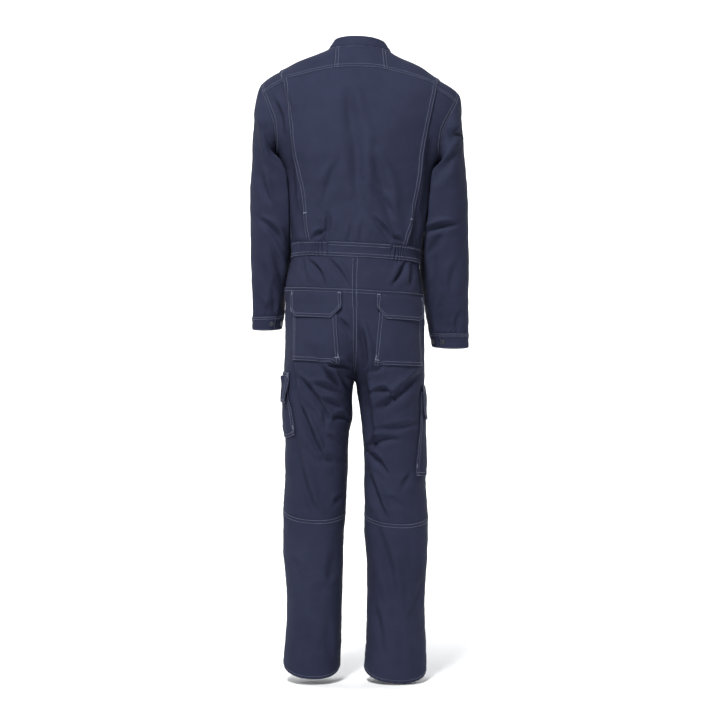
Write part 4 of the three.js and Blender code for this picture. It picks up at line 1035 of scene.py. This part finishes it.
def metal_material():
    """Gunmetal plating: brushed turns, worn brighter in patches, with fine scratches."""
    made, tree, shader, where = bare_material("gunmetal")
    worn = noise(tree, where["Object"], 300, 3)
    scratched = noise(tree, where["Object"], 2600, 2, 0.8)
    tree.links.new(blended(tree, worn, (0.02, 0.022, 0.03), (0.13, 0.135, 0.16)), shader.inputs["Base Color"])
    tree.links.new(maths(tree, "MULTIPLY_ADD", scratched, 0.35, 0.2), shader.inputs["Roughness"])
    give_bumps(tree, shader, scratched, 0.2, 0.0001)
    shader.inputs["Metallic"].default_value = 0.9
    return made


gunmetal = metal_material()
STUD_CAP = (
    (0.02, -1.3), (4.8, -1.3), (5.7, -0.9), (6.0, -0.2), (5.9, 0.4), (5.4, 0.95), (4.7, 1.2), (4.2, 1.15),
    (3.9, 0.85), (3.7, 0.8), (2.6, 1.05), (1.3, 1.2), (0.02, 1.25),
)
for name, side, angle, along in (
    ("cuff_stud_left", 1, 106, 11.52),
    ("cuff_stud_right", -1, 112, 11.55),
    ("cuff_spare_stud_left", 1, 152, 11.52),
    ("cuff_spare_stud_right", -1, 150, 11.55),
):
    near = np.radians([[angle - 3, angle - 3], [angle + 3, angle + 3]])
    grid, out = sleeve(side)(near, np.array([[along - 0.1, along + 0.1]] * 2))
    axis = facing(grid, out)[0, 0]
    centre = grid.reshape(-1, 3).mean(0) + axis * (CUFF_LIFT + 1.9 + float(limp(grid).mean()))
    button = lathe(name + ".metal", STUD_CAP, centre, axis, gunmetal)
    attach(button, "root")
    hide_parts(name)

# Waistband, 38 mm high: flat in the middle of the back, gathered by elastic beside it, flat again in front.
# The elastic's gathers lie 5 to 9 mm apart.
WAIST_FLAT = {1: 69.0, -1: 88.0}
ELASTIC_GATHERS = 18


def band(start, end):
    return lambda u, v: (mix(start, end, u), mix(WAIST_TOP_Z, WAIST_BOTTOM_Z, v))


def flat_end(side):
    angle = float(trunk_angle(WAIST_FLAT[side], WAIST_TOP_Z))
    return angle if side > 0 else math.pi - angle


def gathers(u, v):
    crowd = u + 0.1 * u * (1 - u)
    uneven = 0.35 * np.sin(9 * u) + 0.14 * np.sin(5 * v + 20 * u)
    hump = np.abs(np.sin(np.pi * (ELASTIC_GATHERS * crowd + uneven))) ** 0.5
    deep = 6.4 + 1.2 * np.sin(23 * u + 1)
    pinched = 1 - 0.3 * np.exp(-(((v - 0.5) / 0.12) ** 2))
    return 2.0 + deep * pinched * (hump - 0.86)


waist_back = cloth(
    "waistband_back", trunk, band(flat_end(1), flat_end(-1)), cut=(160, 38), area=0.006,
    lift=0.5, sides=("plain", "plain", "felled", "felled"), step=4.0,
)
twin_rows(waist_back, "top bottom", (2.6, 9.6))
for side, word in ((1, "left"), (-1, "right")):
    seam = 0.0 if side > 0 else math.pi
    elastic = cloth(
        "waist_elastic_" + word, trunk, band(seam, flat_end(side)), cut=(260, 38), area=0.0098,
        lift=gathers, sides=("plain",) * 4, step=1.1, held="gathered",
    )
    twin_rows(elastic, "top", (4.5,))
    twin_rows(elastic, "bottom", (2.6, 9.6))
    cloth(
        "waistband_front_" + word, trunk, band(seam, math.radians(-90 if side > 0 else 270)), cut=(227, 38),
        area=0.0086, lift=0.5, sides=("plain", "plain", "felled", "felled"), step=5.0,
    )
sew("stitching_waist")

# Hip yokes, 74 mm deep under the waistband, halved by the centre back seam. From here down each piece lies on
# a leg: rings measured from the middle seam, which part at the crotch, 0.82 m below the neck.
LEGS = table(
    "z out_left in_left out_right in_right back front set",
    (-640, 174, -174, 174, -174, 137, 122, 0),
    (-685, 174, -126, 173, -126, 139, 120, 0),
    (-725, 174, -76, 173, -76, 137, 117, 0),
    (-760, 175, -40, 173, -40, 133, 114, 0),
    (-790, 175, -14, 173, -14, 127, 111, 0),
    (-822, 175, 1, 173, 1, 120, 108, 0),
    (-860, 174, 8, 174, 8, 113, 105, 0),
    (-910, 174, 6, 175, 15, 106, 101, -1),
    (-960, 174, 14, 175, 20, 99, 98, -2),
    (-1020, 174, 17, 176, 24, 92, 94, -3),
    (-1080, 174, 19, 177, 25, 87, 90, -4),
    (-1140, 177, 23, 181, 25, 84, 87, -4),
    (-1200, 178, 27, 183, 25, 83, 84, -3),
    (-1260, 177, 30, 180, 29, 81, 80, -2),
    (-1330, 171, 32, 176, 30, 79, 76, 0),
    (-1400, 170, 33, 175, 30, 78, 74, 2),
    (-1470, 173, 34, 176, 28, 79, 73, 4),
    (-1530, 178, 36, 178, 25, 81, 74, 6),
    (-1580, 179, 37, 178, 24, 82, 75, 7),
)
MIDDLE_X = 13.0
HIP_Z = -640.0
HIP_SEAM_Z = -597.0
CROTCH_Z = -822.0
KNEE_SIDE_Z = -1147.0
HEM_SIDE_Z = -1534.0


def leg_ring(side, z):
    z = np.asarray(z, float)
    word = "left" if side > 0 else "right"
    outer, inner = column(LEGS, "out_" + word, z), column(LEGS, "in_" + word, z)
    above = {"centre": "mid", "half": "half", "back": "back", "front": "front"}
    below = {"centre": MIDDLE_X + side * (outer + inner) / 2, "half": (outer - inner) / 2}
    below |= {name: column(LEGS, name, z) for name in ("back", "front")}
    ring = {name: np.where(z > HIP_Z, column(TRUNK, above[name], z), below[name]) for name in above}
    return ring | {"set": np.where(z > HIP_Z, 0.0, column(LEGS, "set", z))}


def leg(side):
    """The form of a leg and its half of the seat. Angle 0 is outside, 90 degrees behind, 180 inside."""

    def form(angle, z):
        ring = leg_ring(side, z)
        c, s = np.cos(angle), np.sin(angle)
        depth = np.where(s > 0, ring["back"], ring["front"])
        x = ring["centre"] + side * ring["half"] * bent(c, 2 / SQUARENESS)
        y = ring["set"] + depth * bent(s, 2 / SQUARENESS)
        point = np.stack([x, y, z + LEAN * x - waist_sag(s, z)], -1)
        out = np.stack([side * c / ring["half"], s / depth, 0 * c], -1)
        out /= np.linalg.norm(out, axis=-1, keepdims=True)
        on = "left_leg" if side > 0 else "right_leg"
        held = ease(np.abs(x - MIDDLE_X) / 22) + ease((CROTCH_Z - 20 - z) / 40)
        return point + out * (np.clip(held, 0, 1) * relief(on, x, point[..., 2], s))[..., None], out

    return form


def leg_angle(side, distance, z):
    """The angle where a leg's ring is a given distance from the middle seam."""
    ring = leg_ring(side, z)
    return ring_angle(distance - side * (ring["centre"] - MIDDLE_X), ring["half"])


def inner_angle(side, z):
    """The middle seam above the crotch, and the inside leg below it."""
    ring = leg_ring(side, z)
    middle = np.where(z > HIP_Z, ring["centre"], MIDDLE_X - side * 1.2)
    return ring_angle(side * (middle - ring["centre"]), ring["half"])


for side, word in ((1, "left"), (-1, "right")):
    hip = cloth(
        "hip_yoke_" + word, leg(side), lambda u, v: (math.pi / 2 * u, mix(WAIST_BOTTOM_Z, HIP_SEAM_Z, v)),
        cut=(244, 76), area=0.0175, sides=("plain", "felled", "gathered", "plain"),
    )
    stitch(edge_line(hip, "end", 4.6 if side > 0 else 5.8))
sew("stitching_hips")

# Trouser backs, from the hip seam to the curved knee seam, 0.58 m long, then the backs of the shins down to
# the hem. The hem's edge hangs 26 mm lower behind.
def knee_line(angle):
    return KNEE_SIDE_Z - 21 * np.sin(angle)


def hem_line(angle):
    return HEM_SIDE_Z - 26 * np.sin(angle)


def inseam(side, facing, top, foot):
    return lambda v: np.stack([inner_angle(side, mix(top, foot, v)) * facing, mix(top, foot, v)])


for side, word in ((1, "left"), (-1, "right")):
    back_leg = cloth(
        "back_leg_" + word, leg(side),
        between(
            lambda u: np.stack([math.pi / 2 * u, HIP_SEAM_Z + 0 * u]),
            lambda u: np.stack([math.pi * u, knee_line(math.pi * u)]),
            lambda v: np.stack([0 * v, mix(HIP_SEAM_Z, KNEE_SIDE_Z, v)]),
            inseam(side, 1, HIP_SEAM_Z, KNEE_SIDE_Z),
        ),
        cut=(329, 635), area=0.159, sides=("felled", "felled", "felled", "plain"), step=3.4,
    )
    twin_rows(back_leg, "top start", (2.6, 9.8))
    for inset in (2.6, 9.8):
        stitch(edge_line(back_leg, "end", inset, 0.44, 1))
    stitch(edge_line(back_leg, "end", 4.6 if side > 0 else 5.8, 0, 0.42))
    shin = cloth(
        "back_shin_" + word, leg(side),
        lambda u, v: (math.pi * u, mix(knee_line(math.pi * u), hem_line(math.pi * u), v)),
        cut=(262, 385), area=0.0936, sides=("felled", "felled", "felled", "hem"),
    )
    twin_rows(shin, "top start end", (2.6, 9.8))
    twin_rows(shin, "bottom", (6.5,))
sew("stitching_trouser_backs")

# Trouser fronts, in one piece each from the waist to the hem, 1.02 m long. The hem is turned up once and sewn
# with one row.
for side, word in ((1, "left"), (-1, "right")):
    front_leg = cloth(
        "front_leg_" + word, leg(side),
        between(
            lambda u: np.stack([-math.pi / 2 * u, WAIST_BOTTOM_Z + 0 * u]),
            lambda u: np.stack([-math.pi * u, hem_line(-math.pi * u)]),
            lambda v: np.stack([0 * v, mix(WAIST_BOTTOM_Z, HEM_SIDE_Z, v)]),
            inseam(side, -1, WAIST_BOTTOM_Z, HEM_SIDE_Z),
        ),
        cut=(315, 1075), area=0.2555, sides=("plain", "plain", "gathered", "hem"), step=6.4,
    )
    twin_rows(front_leg, "bottom", (6.5,))
sew("stitching_trouser_fronts")

# Covered placket, a straight doubled strip 54 mm wide from the neck over the waistband to the fly. It lies on
# both fronts and on the middle seam between the legs.
def front_middle(across, z):
    """The middle of the suit's front, by distance across and height."""
    ring_on = trunk(-trunk_angle(np.abs(across), z), z)[0]
    high = np.where((across < 0)[..., None], trunk(math.pi + trunk_angle(np.abs(across), z), z)[0], ring_on)
    legs = [leg(side)(-leg_angle(side, np.abs(across), z), z)[0] for side in (1, -1)]
    low = np.where((across < 0)[..., None], legs[1], legs[0])
    point = np.where((z > HIP_Z)[..., None], high, low)
    return point, np.broadcast_to((0.0, -1.0, 0.0), point.shape)


placket = cloth(
    "front_placket", front_middle, lambda u, v: (mix(27.0, -27.0, u), mix(-1.5, -738.0, v)), cut=(56, 692),
    area=0.0373, lift=2.6, sides=("folded",) * 4, step=4.4,
)
twin_rows(placket, "start bottom", (2.6,))
twin_rows(placket, "start end", (9.6,))
sew("stitching_placket")

# Back pockets: patches 0.11 m wide and 0.16 m long under doubled flaps with a bevelled inner corner. Their
# edges are distances from the middle seam, and the flaps hang from a seam just under the hip seam.
def on_seat(side, far, near, high, low, cut_far=0.0, cut_near=0.0, slant=0.0):
    def patch(u, v):
        edge = low + cut_far * np.clip(1 - u / 0.1, 0, 1) + cut_near * np.clip((u - 0.79) / 0.21, 0, 1)
        z = mix(high, edge, v)
        return leg_angle(side, mix(far, near + slant * (1 - v), u), z), z

    return patch


def swell(low, high, reach):
    """Height of a sewn-on bag: low at its edges, high in its middle."""

    def lift(u, v):
        near = ease(np.minimum(u, 1 - u) / reach) * ease((1 - v) / reach)
        return low + (high - low) * near

    return lift


def hung(low, high, share):
    """Height of a flap, sewn down along its top and free below."""

    def lift(u, v):
        return low + (high - low) * ease(v / share) + 0.7 * np.sin(5 * u + 1.3) * ease((v - 0.4) / 0.6)

    return lift


for side, word, pocket_edges, flap_edges in (
    (1, "left", (150, 37, -612, -779, 0, 0, 9), (153, 31, -607.5, -672, 14, 28)),
    (-1, "right", (162, 47, -609, -779, 0, 0, 15), (165, 52, -607, -668, 10, 28)),
):
    pocket = cloth(
        "back_pocket_" + word, leg(side), on_seat(side, *pocket_edges), cut=(138, 164), area=0.022,
        lift=swell(2.2, 4.0, 0.2), sides=("folded",) * 4, step=3.6, rests_on=["back_leg_" + word],
    )
    twin_rows(pocket, "start end bottom", (2.4, 9.4))
    bar_tack(drawn_line(pocket, (0.97, 0.93), (0.8, 0.93)), long=10)
    bar_tack(drawn_line(pocket, (0.97, 0.93), (0.97, 0.8)), long=12)
    flap = cloth(
        "back_flap_" + word, leg(side), on_seat(side, *flap_edges), cut=(163, 63), area=0.0086,
        lift=hung(3.4, 6.4, 0.3), sides=("folded",) * 4, step=3.2, rests_on=["back_pocket_" + word],
    )
    twin_rows(flap, "start end bottom", (2.4, 9.0))
    bar_tack(drawn_line(flap, (0.02, 0.04), (0.02, 0.4)), long=9)
    bar_tack(drawn_line(flap, (0.98, 0.04), (0.92, 0.04)), long=9)
sew("stitching_back_pockets")

# On the left thigh a roomy cargo pocket with a flap, on the right a long rule pocket, and a pad pocket on
# each knee. They lie round the legs, at angles from the outer side.
def round_leg(side, start, end, high, low, cut=0.0, pulled=0.0):
    def patch(u, v):
        lost = cut * (1 - ease(np.minimum(u, 1 - u) / 0.2))
        back = start + pulled * ease(v * 1.2 - 0.2)
        return np.radians(mix(back, end, u)), mix(high, low + lost, v)

    return patch


cargo = cloth(
    "thigh_pocket_left", leg(1), round_leg(1, 36, -52, -818, -972, 9, 15), cut=(173, 159), area=0.0253,
    lift=swell(2.4, 8.6, 0.18), sides=("folded",) * 4, step=3.8, rests_on=["back_leg_left", "front_leg_left"],
)
cargo_flap = cloth(
    "thigh_flap_left", leg(1), round_leg(1, 38, -54, -808, -884), cut=(184, 86), area=0.0149,
    lift=hung(2.8, 11.2, 0.8), sides=("folded",) * 4, step=3.8, rests_on=["thigh_pocket_left"],
)
rule = cloth(
    "rule_pocket_right", leg(-1), round_leg(-1, 34, -36, -840, -1050, 0, 18), cut=(139, 207), area=0.0259,
    lift=swell(2.2, 4.2, 0.2), sides=("folded",) * 4, step=3.8,
    rests_on=["back_leg_right", "front_leg_right"],
)
rule_flap = cloth(
    "rule_flap_right", leg(-1), round_leg(-1, 30, -38, -826, -910, 12), cut=(137, 84), area=0.0108,
    lift=hung(2.6, 6.9, 0.3), sides=("folded",) * 4, step=3.8, rests_on=["rule_pocket_right"],
)
for piece in (cargo, rule):
    twin_rows(piece, "start end bottom", (2.4, 9.4))
    bar_tack(drawn_line(piece, (0.03, 0.9), (0.03, 0.7)), long=11)
for piece in (cargo_flap, rule_flap):
    twin_rows(piece, "start end bottom top", (2.4, 9.0))
    bar_tack(drawn_line(piece, (0.03, 0.04), (0.03, 0.3)), long=11)
for side, word in ((1, "left"), (-1, "right")):
    knee = cloth(
        "knee_pocket_" + word, leg(side), round_leg(side, -12, -150, -1064, -1266),
        cut=(196, 203), area=0.0389, lift=swell(2.2, 4.4, 0.15), sides=("folded",) * 4,
        rests_on=["front_leg_" + word],
    )
    twin_rows(knee, "start end bottom top", (2.4, 9.4))
sew("stitching_leg_pockets")

# The suit is pictured from behind on a sweep of white paper, from 5 m away, in even soft light from above
# that leaves a faint shade at the hems.
def paper_material():
    made, tree, shader, where = bare_material("white_paper")
    grain = noise(tree, where["Object"], 3, 4)
    colour = blended(tree, grain, (0.86, 0.87, 0.88), (0.93, 0.93, 0.93))
    tree.links.new(colour, shader.inputs["Base Color"])
    shader.inputs["Roughness"].default_value = 0.9
    return made


floor_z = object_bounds()[0][2] - 0.004
BEND_Y, BEND = -2.4, 1.2
turns = np.linspace(0, math.pi / 2, 13)[1:]
rounded = [(BEND_Y - BEND * math.sin(t), BEND - BEND * math.cos(t)) for t in turns]
profile = [(9.0, 0.0), (BEND_Y, 0.0), *rounded, (BEND_Y - BEND, 7.0)]
strip = np.array([[(x, y, floor_z + z) for y, z in profile] for x in (-9.0, 9.0)]) * 1000
i, j = np.arange(len(profile) - 1), np.arange(1, len(profile))
n = len(profile)
paper = solid(
    "paper_sweep", strip.reshape(-1, 3), np.stack([i, i + n, j + n, j], -1), np.ones(n - 1, bool),
    paper_material(),
)


def softbox(name, where, size, power, at=(0, 0, -0.75)):
    data = bpy.data.lights.new(name, "AREA")
    data.shape, data.size, data.size_y, data.energy = "RECTANGLE", *size, power
    made = bpy.data.objects.new(name, data)
    made.location = where
    made.rotation_euler = (Vector(at) - Vector(where)).to_track_quat("-Z", "Y").to_euler()
    bpy.context.scene.collection.objects.link(made)


softbox("key_light", (0.9, 2.9, 2.7), (0.9, 0.8), 275)
softbox("fill_light", (-1.1, 4.3, -0.9), (1.6, 1.2), 14)
softbox("front_light", (0.4, -2.6, 1.9), (2.0, 1.4), 12)
for x in (-2.4, 2.4):
    softbox("paper_light", (x, -1.2, 0.6), (1.0, 2.0), 100, at=(x * 0.3, -3.6, -0.6))
world = bpy.data.worlds.new("white_room")
world.use_nodes = True
world.node_tree.nodes["Background"].inputs["Color"].default_value = (0.95, 0.96, 1.0, 1)
world.node_tree.nodes["Background"].inputs["Strength"].default_value = 0.07
bpy.context.scene.world = world
bpy.context.scene.view_settings.view_transform = "Standard"

camera = bpy.data.objects.new("camera", bpy.data.cameras.new("camera"))
camera.data.lens, camera.data.sensor_width = 100, 36
camera.location = (0, 5, -0.77)
camera.rotation_euler = (math.pi / 2, 0, math.pi)
bpy.context.scene.collection.objects.link(camera)
bpy.context.scene.camera = camera
